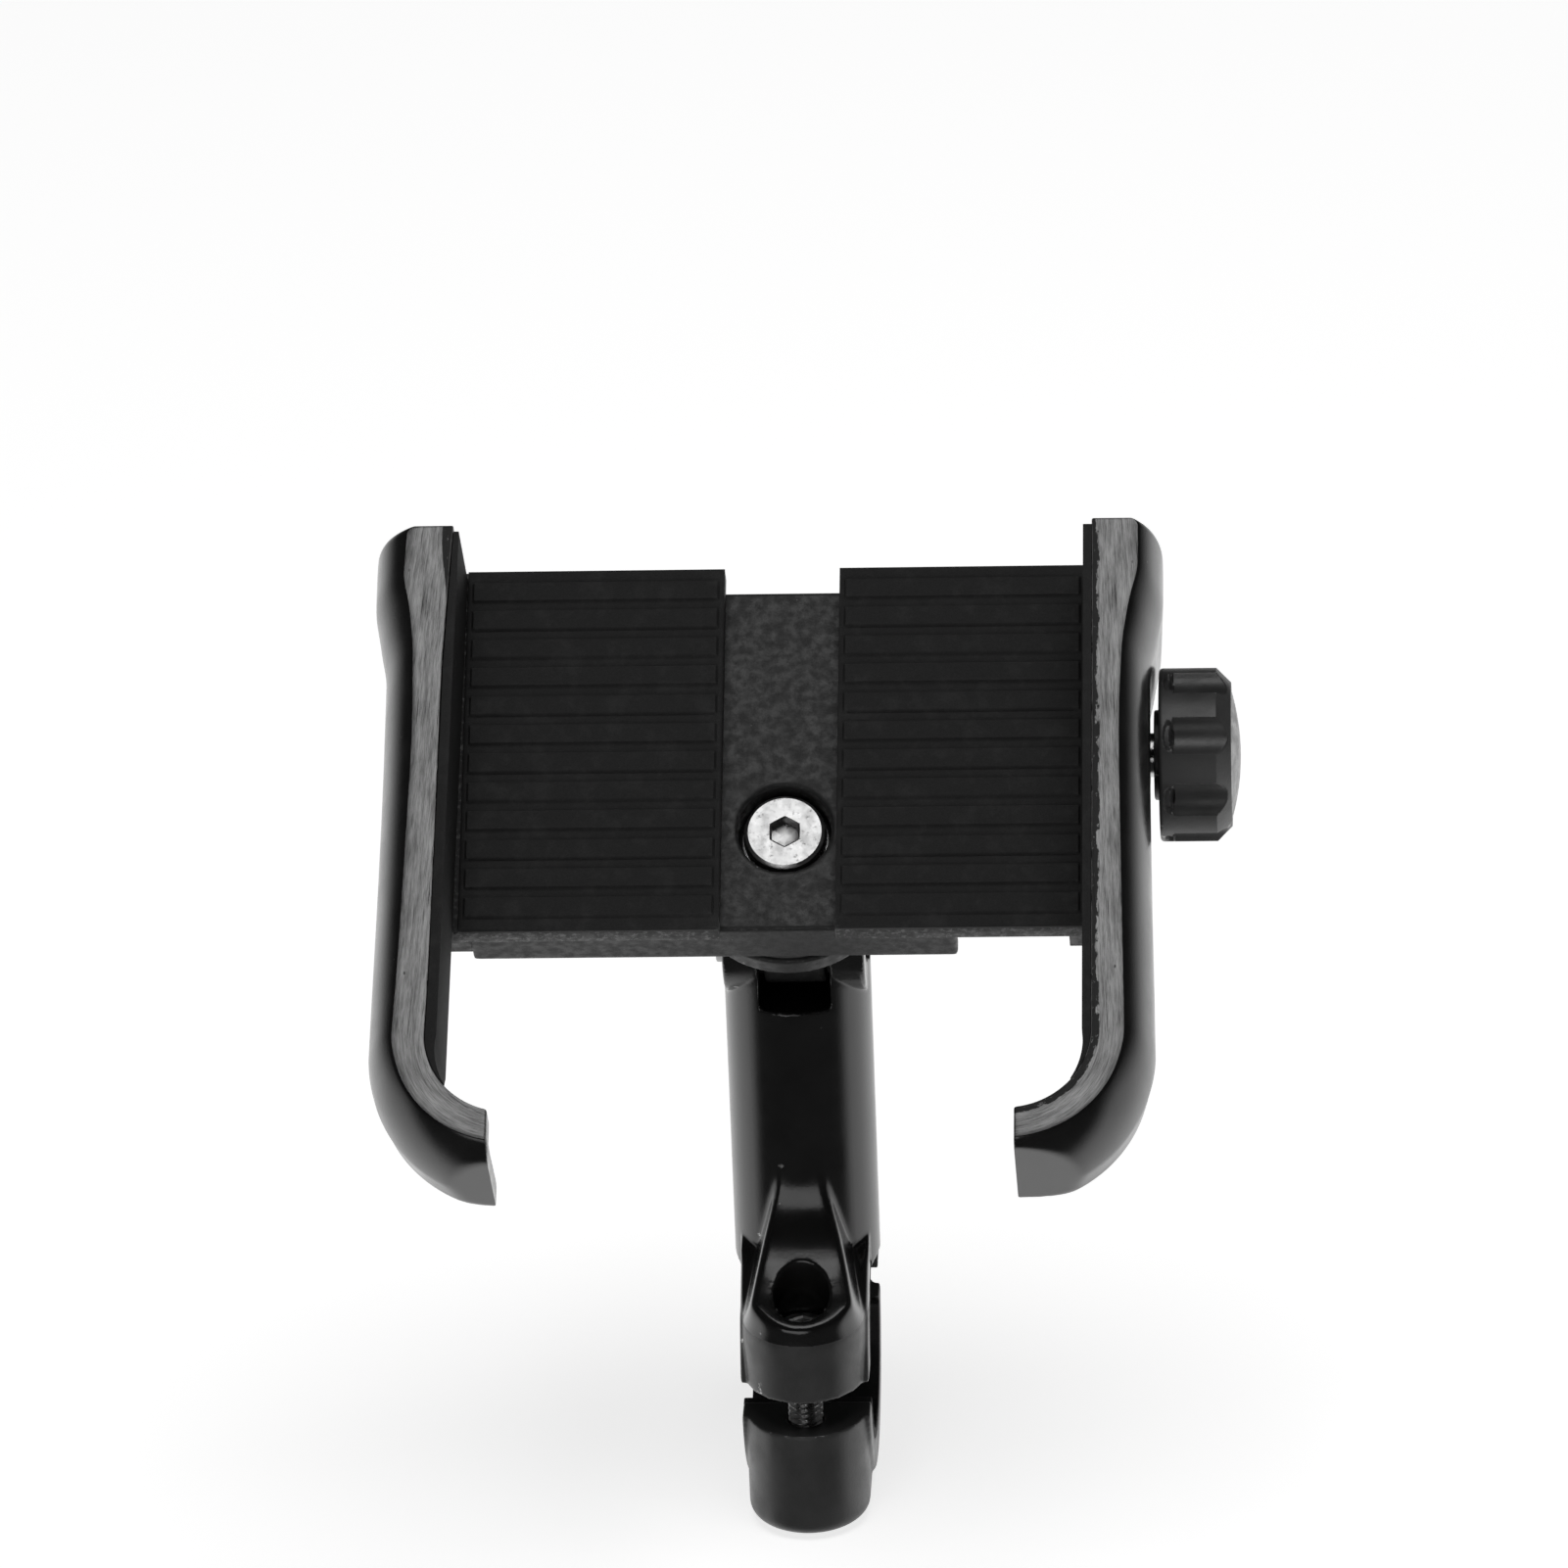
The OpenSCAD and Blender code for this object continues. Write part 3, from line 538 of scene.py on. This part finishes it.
class ArmShape:
    """The arm as the CAD part has it, drawn as the right arm with its inner face at x = 0, in mm."""

    low, high = box_in("right_arm")
    inner = box_in("right_side_pad")[1].x          # the arm's inner face
    front = high.z
    depth = front - low.z
    hook_depth = 15.0
    hook_c = 9.3                                   # radius of the hook's inner edge
    hook_s = 14.0                                  # height of the hook's centre above the hook's front face
    lip_t, lip_in = 3.2, 2.6
    flank_z = 9.0
    back_draft = 0.5                               # how much thinner the arm is at its back
    top = 76.5
    foot = high.y - top                            # y of s = 0
    face_widths = [(0, 3.9), (14, 3.7), (36, 3.3), (50, 3.1), (60, 3.4), (66, 4.2), (71, 5.2), (75.4, 5.2),
                   (76, 4.95), (76.5, 4.3)]
    thicknesses = [(0, 7), (14, 6.9), (36, 6.5), (50, 6.35), (60, 6.35), (65, 7.1), (70, 7.8), (73.5, 7.8),
                   (75.5, 7.75), (76.1, 7.6), (76.5, 7.3)]
    # how far the front of the left arm leans in, down to the depth of its ledge
    leans = [(14, 0), (21, 0.21), (33, 0.38), (46, 0.52), (57.5, 0.64), (66, 0.95), (76.5, 1.45)]
    ledge = 12.2


ARM = ArmShape


def soft_floor(value, low, blend=0.35):
    """The value, or low if that is more, with the corner between them rounded."""
    if abs(value - low) >= blend:
        return max(value, low)
    return low + (value - low + blend) ** 2 / (4 * blend)


def arm_section(s, recess, leaning=0):
    """Outline of the arm's section as (outwards, depth), from the front face's inner edge round the flank."""
    fw, t = smooth_lookup(s, ARM.face_widths), smooth_lookup(s, ARM.thicknesses)
    lean = leaning * smooth_lookup(s, ARM.leans)
    ledge = ARM.lip_t + (ARM.ledge - ARM.lip_t) * min(1.0, max(0.0, (s - ARM.hook_s) / 4))
    d = ARM.hook_depth + (ARM.depth - ARM.hook_depth) * ease((s - 17) / 16)
    a30 = math.radians(30)
    edge, flank = fw - lean, t - fw + lean
    points = [(-lean, -0.22), (0.03 - lean, -0.1), (0.1 - lean, -0.02), (0.2 - lean, 0)]
    points += [(fw * k / 5 - lean, 0) for k in range(1, 5)] + [(edge - 0.06, 0)]
    for k in range(22):
        a = math.radians(31 + 59 * k / 21)
        points.append((edge + flank * (math.sin(a) - 0.5) / 0.5,
                       -ARM.flank_z * (math.cos(a30) - math.cos(a)) / math.cos(a30)))
    points += [(t - ARM.back_draft * k / 4, -ARM.flank_z + (2.4 - d + ARM.flank_z) * k / 4)
               for k in range(1, 5)]
    turn = t - ARM.back_draft - 2.1
    for k in range(1, 9):
        a = math.radians(90 * k / 8)
        points.append((turn + 2.1 * math.cos(a), 2.4 - d - 2.4 * math.sin(a)))
    points += [(turn + (recess + 0.8 - turn) * k / 3, -d) for k in (1, 2)]
    for k in range(5):
        a = math.radians(90 * k / 4)
        points.append((recess + 0.8 - 0.8 * math.sin(a), 0.8 - d - 0.8 * math.cos(a)))
    points += [(recess, 0.8 - d + (d - 0.8 - ledge) * k / 4) for k in range(1, 5)]
    points += [(recess * 0.5 - lean * 0.5, -ledge), ((0.06 if recess > 0.1 else 0) - lean, 0.02 - ledge),
               (-lean, 0.12 - ledge)]
    return points


FACE_FROM, FACE_TO = 1, 8                          # the front face's stretch of the outline


def inset(points, by):
    """The outline drawn in towards its middle."""
    cx = sum(p[0] for p in points) / len(points)
    cz = sum(p[1] for p in points) / len(points)
    moved = []
    for x, z in points:
        length = math.hypot(cx - x, cz - z)
        moved.append((x + (cx - x) / length * by, z + (cz - z) / length * by))
    return moved


def arm_rings(reach, hook_foot, leaning):
    """Rings of ((x, y, z), (outwards, along, depth)) from the arm's top to its hook's tip.

    The tip is reach mm inwards from the arm's inner face, and the hook's underside is flat at hook_foot.
    """
    rings = []

    def straight(s, by=0.0):
        lean = leaning * smooth_lookup(s, ARM.leans)
        outline = arm_section(s, 0.04, leaning)
        outline = inset(outline, by) if by else outline
        rings.append([((o, s + ARM.foot, z + ARM.front), (o + lean, ARM.top - s, z)) for o, z in outline])

    for drop, by in ((0.02, 0.34), (0.08, 0.15), (0.18, 0.04)):
        straight(ARM.top - drop, by)
    s = ARM.top - 0.3
    while s > ARM.hook_s + 0.5:
        straight(s)
        s -= 0.2 if s > ARM.top - 3 else 0.8
    middle = ARM.hook_c + ARM.face_widths[1][1] / 2
    tip_x = ARM.hook_c - reach
    steps = 44
    shrink = 0.026                                 # keeps the hook inside the CAD part's chords
    ends = ((0.16, 0.04), (0.06, 0.15), (0.02, 0.34))    # set-back and inset of the last rings
    for k in range(steps + 4):
        back, by = ends[k - steps - 1] if k > steps else (0.3, 0.0)
        nominal = math.degrees(min(1.0, k / steps) * math.acos(tip_x / middle))
        outline = arm_section(ARM.hook_s, 0.04 + ARM.lip_in * ease(nominal / 34))
        ring = []
        for o, z in inset(outline, by) if by else outline:
            r = ARM.hook_c + o * (1 - shrink * min(1.0, k / 8))
            a = math.acos((tip_x + back) / r) * min(1.0, k / steps)
            y = soft_floor(ARM.hook_s - r * math.sin(a), hook_foot + 0.02) + ARM.foot
            point = (r * math.cos(a) - ARM.hook_c, y, z + ARM.front)
            ring.append((point, (o, ARM.top - ARM.hook_s + a * middle, z)))
        rings.append(ring)
    return rings


def arm_holes(place, right):
    """Cutters for what goes into the arm's inner face."""
    pilots = box_in("right_arm_screws")
    screw_r, head_r = 1.55, 2.8

    def hole(name, y, z, depth, radius, segments):
        ends = [(-1, radius), (depth, radius)]
        return turned(name, ends, place @ Matrix.Translation(Vector((0, y, z)) * MM) @ TO_X, segments)

    z = (pilots[0].z + pilots[1].z) / 2
    made = [hole("pilot", y, z, 4.2, screw_r, 32) for y in (pilots[0].y + head_r, pilots[1].y - head_r)]
    if right:
        rods, bush = box_in("guide_rods"), box_in("screw_bush")
        rod_r, bush_r = 2.0, (bush[1].y - bush[0].y) / 2
        z = (rods[0].z + rods[1].z) / 2
        made += [hole("socket", y, z, 4.5, rod_r, 48) for y in (rods[0].y + rod_r, rods[1].y - rod_r)]
        middle = (bush[0] + bush[1]) / 2
        made.append(hole("bush_bore", middle.y, middle.z, 20, bush_r, 96))
    return made


def build_arm(side):
    right = side == "right"
    wall = ARM.inner if right else box_in("left_bracket")[0].x
    low, high = box_in(side + "_arm")
    reach = wall - low.x if right else high.x - wall
    place = CRADLE @ Matrix.Translation((wall * MM, 0, 0)) @ Matrix.Scale(1 if right else -1, 4, (1, 0, 0))
    rings = arm_rings(reach, low.y - ARM.foot, 0 if right else 1)
    count = len(rings[0])
    verts = [p for ring in rings for p, _ in ring]
    flows = [f for ring in rings for _, f in ring]
    faces = [tuple(range(count))]
    for k in range(len(rings) - 1):
        for i in range(count):
            j = (i + 1) % count
            faces.append((k * count + i, (k + 1) * count + i, (k + 1) * count + j, k * count + j))
    faces.append(tuple((len(rings) - 1) * count + i for i in reversed(range(count))))
    made = to_mesh(side + "_arm_casting", verts, faces, place)
    mesh = made.data
    flow = mesh.attributes.new("flow", "FLOAT_VECTOR", "POINT")
    flow.data.foreach_set("vector", [x for f in flows for x in f])
    mesh.materials.append(MATERIALS["arm_black"])
    mesh.materials.append(MATERIALS[side + "_face"])
    for face in mesh.polygons[1:-1]:
        i = (face.index - 1) % count
        if FACE_FROM <= i < FACE_TO:
            face.material_index = 1
    settle(made, 34)
    drilled(made, arm_holes(place, right))
    settle(made, 34)
    stands_for(made, side + "_arm")


# ---------------------------------------------------------------- clamp and stem


def buttress_share(point):
    """1 on the buttresses, 0 at the clamp's screws, flanks and bore."""
    z = ease((point.z - 9.0) / 1.5) * ease((31 - point.z) / 3)
    screw = math.hypot(point.x, abs(point.y) - 16)
    return z * ease((screw - 3.4) / 1.6) * ease((abs(point.y) - 6.0) / 2.5)


def build_clamp():
    stem = cast_copy("stem_casting", "stem", 0.22, 7, softer=buttress_share, more=60)
    stem.data.materials.append(MATERIALS["black_gloss"])
    stem.data.materials.append(MATERIALS["lug_satin"])
    lug_top = 10.6 * MM
    # the lugs' side faces take the satin coating, whose lighter base colour is painted reflection
    for face in stem.data.polygons:
        if face.center.z < lug_top - 0.9 * MM and abs(face.normal.z) < 0.5:
            face.material_index = 1
    stands_for(stem, "stem")
    cap = cast_copy("clamp_cap_casting", "clamp_cap", 0.22, 7)
    stands_for(cap, "clamp_cap", material=MATERIALS["lug_satin"])
    for node in ("upper_liner", "lower_liner"):
        stands_for(bevelled_copy(node + "_rubber", node, 0.2), node)
    for side in ("front", "rear"):
        node = side + "_clamp_screw"
        low, high = box_in(node, STEM)
        head_h, head_r = 2.6, (high.x - low.x) / 2
        seat = high.z - head_h
        place = Matrix.Translation(Vector((0, (low.y + high.y) / 2, seat)) * MM)
        screw = cap_screw(side + "_socket_screw", place, 2.0, seat - low.z, head_r, head_h, 3, 0.7, 1.5)
        stands_for(screw, node)


# ---------------------------------------------------------------- tilt and swivel


def build_tilt():
    low, high = box_in("tilt_bolt", STEM)
    head_h, head_r = 3.0, (high.y - low.y) / 2
    axis = Matrix.Translation((0, 0, tilt_z))
    place = axis @ Matrix.Translation(((high.x - head_h) * MM, 0, 0)) @ TO_X
    length = high.x - head_h - low.x
    stands_for(cap_screw("tilt_socket_bolt", place, 2.5, length, head_r, head_h, 3, 0.8, 2), "tilt_bolt")
    low, high = box_in("tilt_bolt_washer", STEM)
    washer = tube("tilt_washer", (high.y - low.y) / 2, BOLT_HOLE_R, low.x, high.x, 0.1, axis @ TO_X)
    stands_for(washer, "tilt_bolt_washer")
    low, high = box_in("tilt_nut", STEM)
    flats, corner_r, thread_r = hexagon(9.2), 5.15, 2.55
    nut = tube("tilt_hex_nut", lambda a: min(flats(a), corner_r), thread_r, low.x, high.x, 0.25, axis @ TO_X)
    stands_for(nut, "tilt_nut")
    friction_r, inner_x, outer_x = 6.5, 3.55, 4.05
    washers = []
    for x0, x1 in ((-outer_x, -inner_x), (inner_x, outer_x)):
        washers.append(tube("tilt_friction_pair", friction_r, BOLT_HOLE_R, x0, x1, 0.08, axis @ TO_X))
    stands_for(joined(washers[0], washers[1:]), "tilt_friction_washers")
    stands_for(cast_copy("tilt_knuckle_casting", "tilt_knuckle", 0.25, 5, CRADLE), "tilt_knuckle")


def build_swivel():
    low, high = box_in("swivel_disc")
    glide = tube("swivel_glide", (high.x - low.x) / 2, BOLT_HOLE_R, low.z, high.z, 0.15, CRADLE, 128)
    stands_for(glide, "swivel_disc")
    low, high = box_in("swivel_washer")
    washer = tube("swivel_spring_washer", (high.x - low.x) / 2, BOLT_HOLE_R, low.z, high.z, 0.1, CRADLE)
    stands_for(washer, "swivel_washer")
    low, high = box_in("swivel_bolt")
    head_h, head_r = 2.4, (high.x - low.x) / 2
    place = CRADLE @ Matrix.Translation((0, 0, (high.z - head_h) * MM))
    length = high.z - head_h - low.z
    bolt = cap_screw("swivel_socket_bolt", place, 2.5, length, head_r, head_h, 3, 0.8, 9.5)
    stands_for(bolt, "swivel_bolt")


# ---------------------------------------------------------------- cradle


def ribbed_pad(node):
    """Moulded rubber pad with rounded ribs across the phone."""
    low, high = box_in(node)
    ribs, groove, base, border, edge = 12, 1.0, 0.6, 0.6, 0.3
    step = (high.y - low.y - 2) / ribs

    def rise(x, y):
        """Height above the pad's underside."""
        off = (y - low.y - 1) / step
        share = 0.0
        if 0 < off < ribs:
            to_side = min(off % 1, 1 - off % 1) * step - groove / 2
            to_end = min(x - low.x, high.x - x) - border
            share = ease(min(to_side, to_end) / edge + 0.3)
        rim = min(x - low.x, high.x - x, y - low.y, high.y - y)
        return base - 0.25 * (1 - ease(rim / 0.25)) + (high.z - low.z - base) * share

    def spread(a, b, count, fine):
        """Positions from a to b, crowded at both ends."""
        first = [a + fine * k / 5 for k in range(5)]
        between = [a + fine + (b - a - 2 * fine) * k / count for k in range(count + 1)]
        return first + between + [b - fine + fine * k / 5 for k in range(1, 6)]

    xs, ys = spread(low.x, high.x, 14, 1.3), spread(low.y, high.y, ribs * 22, 0.4)
    verts = [(x, y, low.z + rise(x, y)) for y in ys for x in xs] + [(x, y, low.z) for y in ys for x in xs]
    m, n = len(xs), len(ys)
    half, faces = m * n, []
    for j in range(n - 1):
        for i in range(m - 1):
            a = j * m + i
            faces.append((a, a + 1, a + m + 1, a + m))
            faces.append((half + a, half + a + m, half + a + m + 1, half + a + 1))
    border_loop = list(range(m)) + [j * m + m - 1 for j in range(1, n)]
    border_loop += [(n - 1) * m + i for i in reversed(range(m - 1))]
    border_loop += [j * m for j in reversed(range(1, n - 1))]
    for a, b in zip(border_loop, border_loop[1:] + border_loop[:1]):
        faces.append((a, half + a, half + b, b))
    made = to_mesh(node + "_ribbed", verts, faces, CRADLE)
    settle(made, 50)
    return made


def build_cradle():
    stands_for(cast_copy("cradle_body_machined", "cradle_body", 0.28, 4, CRADLE), "cradle_body")
    for side in ("left", "right"):
        stands_for(bevelled_copy(side + "_bracket_plate", side + "_bracket", 0.35), side + "_bracket")
        stands_for(ribbed_pad(side + "_bed_pad"), side + "_bed_pad")
        stands_for(bevelled_copy(side + "_side_strip", side + "_side_pad", 0.22), side + "_side_pad")
        stands_for(bevelled_copy(side + "_hook_strip", side + "_hook_pad", 0.15), side + "_hook_pad")
        build_arm(side)
        build_screws(side + "_arm_screws", TO_MINUS_X if side == "right" else TO_X, side == "right")
    low, high = box_in("left_bracket_screws")
    head_r = 2.8
    made = []
    for y in (low.y + head_r, high.y - head_r):
        place = CRADLE @ Matrix.Translation(Vector(((low.x + high.x) / 2, y, high.z)) * MM)
        made.append(countersunk("left_plate_screws", place, 1.5, high.z - low.z, head_r, 2))
    stands_for(joined(made[0], made[1:]), "left_bracket_screws")
    for node in ("lead_nut", "rod_bushes", "screw_bush", "retaining_ring"):
        stands_for(bevelled_copy(node + "_turned", node, 0.12), node)


def build_screws(node, turn, head_first):
    """The two countersunk screws that hold an arm to its bracket."""
    low, high = box_in(node)
    head_r, made = 2.8, []
    x = low.x if head_first else high.x
    for y in (low.y + head_r, high.y - head_r):
        place = CRADLE @ Matrix.Translation(Vector((x, y, (low.z + high.z) / 2)) * MM) @ turn
        made.append(countersunk(node + "_flat", place, 1.5, high.x - low.x, head_r, 2))
    stands_for(joined(made[0], made[1:]), node)


def build_rods():
    low, high = box_in("guide_rods")
    radius, made = 2.0, []
    for y in (low.y + radius, high.y - radius):
        place = CRADLE @ Matrix.Translation(Vector((0, y, (low.z + high.z) / 2)) * MM) @ TO_X
        rings = [(low.x, radius - 0.35), (low.x + 0.1, radius - 0.25), (low.x + 0.4, radius),
                 (high.x - 0.4, radius), (high.x - 0.1, radius - 0.25), (high.x, radius - 0.35)]
        made.append(turned("guide_rods_ground", rings, place))
    stands_for(joined(made[0], made[1:]), "guide_rods")


# ---------------------------------------------------------------- lead screw and knob


def knob_axis():
    low, high = box_in("lead_screw")
    return CRADLE @ Matrix.Translation(Vector((0, (low.y + high.y) / 2, (low.z + high.z) / 2)) * MM) @ TO_X


def build_lead_screw():
    low, high = box_in("lead_screw")
    ring_low, ring_high = box_in("retaining_ring")
    radius = (high.y - low.y) / 2
    groove = radius - 0.5
    thread_end = low.x + 24
    rings = helix(radius, 0.8, low.x, thread_end) + [(thread_end + 0.3, radius)]
    rings += [(ring_low.x - 0.05, radius), (ring_low.x - 0.05, groove), (ring_high.x + 0.05, groove),
              (ring_high.x + 0.05, radius), (high.x - 0.3, radius), (high.x, radius - 0.3)]
    stands_for(turned("lead_screw_threaded", rings, knob_axis(), 64), "lead_screw")


def knob_radius(x, r, length, chamfer):
    """Outer radius of the knob's blank at x from its inner face."""
    if x < 0.45:
        return r - 0.45 + math.sqrt(max(0.0, 0.45 ** 2 - (0.45 - x) ** 2))
    return min(r, r - (x - (length - chamfer)))


def build_knob():
    flutes, phase = 8, 0.28
    low, high = box_in("knob")
    hub = 0.6
    x0, length = low.x + hub, high.x - low.x - hub
    r, chamfer, seat_r = (high.y - low.y) / 2, 1.65, 7.3
    cut_r, cut_at = 2.6, r + 1.35                 # a flute's radius, and its axis from the knob's
    start, dimple = 1.15, 0.55                    # a flute's inner end, and the notch there

    def surface(x):
        def at(a):
            step = 2 * math.pi / flutes
            # angle from the nearest flute: they are counted from the cradle's Z, turned by phase of a step
            off = (a + math.pi - phase * step + step / 2) % step - step / 2
            blank = knob_radius(x, r, length, chamfer)
            reach = cut_r * min(1.0, max(0.0, (x - start) / 0.7 + 0.25)) ** 0.5 if x > start - 0.17 else 0.0
            side = cut_at * math.sin(abs(off))
            if reach > side:
                blank = min(blank, cut_at * math.cos(off) - math.sqrt(reach ** 2 - side ** 2))
            # dark notch with a sharp rim at the flute's inner end
            notch = 1 - ((x - start) / 0.62) ** 2 - (off * r / 1.75) ** 2
            return blank - dimple * min(1.0, max(0.0, notch) * 3.0)
        return at

    rings = [(-hub, 3.0), (-hub, 4.9), (-hub + 0.12, 5.05), (-0.02, 5.08), (0, 5.1), (0, r - 0.6)]
    rings = [(x0 + x, radius) for x, radius in rings]
    step = 0.11
    count = round((length - 0.02) / step)
    for k in range(count + 1):
        x = 0.02 + (length - 0.02) * k / count
        rings.append((x0 + x, surface(x)))
    rim = length - 0.02
    rings += [(x0 + length, r - chamfer - 0.12), (x0 + length, seat_r + 0.12), (x0 + rim - 0.1, seat_r),
              (x0 + length - 1.2, seat_r), (x0 + length - 1.2, 3.0)]
    knob = turned("knob_fluted", rings, knob_axis(), 384)
    stands_for(knob, "knob")
    low, high = box_in("knob_cap")
    cap_r = (high.y - low.y) / 2
    base, rise = low.x, 1.0
    dome = (cap_r ** 2 + rise ** 2) / (2 * rise)
    rings = [(base, cap_r - 0.1), (base + 0.1, cap_r), (high.x - rise - 0.05, cap_r)]
    for k in range(1, 24):
        a = math.asin(cap_r / dome) * (1 - k / 24)
        rings.append((high.x - dome + dome * math.cos(a), dome * math.sin(a)))
    rings.append((high.x, 0.02))
    stands_for(turned("knob_cap_domed", rings, knob_axis(), 128), "knob_cap")


# ---------------------------------------------------------------- studio


def build_studio():
    scene = bpy.context.scene
    scene.view_settings.view_transform = "Standard"
    bpy.ops.mesh.primitive_plane_add(size=6, location=(0, 0, cad_low.z - 0.0002))
    floor = bpy.context.object
    floor.name = "floor"
    g = Graph("floor_white")
    g.set(Base_Color=grey(0.92), Roughness=0.9, Specular_IOR_Level=0.1,
          Emission_Color=grey(1.0), Emission_Strength=0.75)
    floor.data.materials.append(g.material)
    floor.visible_glossy = False
    world = bpy.data.worlds.new("studio")
    scene.world = world
    world.use_nodes = True
    tree = world.node_tree
    back = tree.nodes["Background"]
    coords = tree.nodes.new("ShaderNodeTexCoord")
    split = tree.nodes.new("ShaderNodeSeparateXYZ")
    tree.links.new(coords.outputs["Generated"], split.inputs[0])

    def step(socket, low, high, a, b):
        made = tree.nodes.new("ShaderNodeMapRange")
        made.interpolation_type = "SMOOTHSTEP"
        tree.links.new(socket, made.inputs["Value"])
        for key, value in (("From Min", low), ("From Max", high), ("To Min", a), ("To Max", b)):
            made.inputs[key].default_value = value
        return made.outputs[0]

    def combine(operation, a, b=None):
        made = tree.nodes.new("ShaderNodeMath")
        made.operation = operation
        tree.links.new(a, made.inputs[0])
        if b is not None:
            tree.links.new(b, made.inputs[1])
        return made.outputs[0]

    behind = step(split.outputs[1], -0.4, -0.02, 0.03, 1.0)
    under = step(split.outputs[2], -0.34, 0.16, 1.0, 0.03)
    beside = step(combine("ABSOLUTE", split.outputs[0]), 0.3, 0.75, 1.0, 1.35)
    tree.links.new(combine("MULTIPLY", combine("MULTIPLY", behind, under), beside), back.inputs["Color"])
    back.inputs["Strength"].default_value = 1.05

    def lamp(name, place, size, power, target=(0, 0, 0.06)):
        light = bpy.data.lights.new(name, "AREA")
        light.shape, light.size, light.size_y, light.energy = "RECTANGLE", size[0], size[1], power
        made = bpy.data.objects.new(name, light)
        bpy.context.scene.collection.objects.link(made)
        made.location = place
        made.rotation_euler = (Vector(target) - Vector(place)).to_track_quat("-Z", "Y").to_euler()

    lamp("top_softbox", (0.1, -0.25, 1.3), (1.0, 0.7), 6)
    lamp("front_softbox", (-0.3, -1.3, 0.12), (0.9, 0.5), 2.5)


def build_camera():
    """Camera at the rider's eye: yawed to the knob side, raised, and rolled a little."""
    yaw, raised, roll = math.radians(3.57), math.radians(26.5), math.radians(2.2)
    # where the mount's origin is from the camera: ahead, to the right and below, in metres
    depth, right, down = 1.1986, 0.003186, 0.063785
    toward = Vector((math.sin(yaw) * math.cos(raised), -math.cos(yaw) * math.cos(raised), math.sin(raised)))
    ahead = -toward
    across = ahead.cross(Vector((0, 0, 1))).normalized()
    up = across.cross(ahead)
    across, up = (math.cos(roll) * across - math.sin(roll) * up,
                  math.sin(roll) * across + math.cos(roll) * up)
    data = bpy.data.cameras.new("camera")
    data.sensor_width, data.lens = 36, 236.5
    data.clip_start, data.clip_end = 0.05, 20
    camera = bpy.data.objects.new("camera", data)
    bpy.context.scene.collection.objects.link(camera)
    rotation = Matrix((across, up, toward)).transposed()
    offset = right * across - down * up + depth * ahead
    camera.matrix_world = Matrix.Translation(-offset) @ rotation.to_4x4()
    bpy.context.scene.camera = camera


make_materials()
build_clamp()
build_tilt()
build_swivel()
build_cradle()
build_rods()
build_lead_screw()
build_knob()
build_studio()
build_camera()
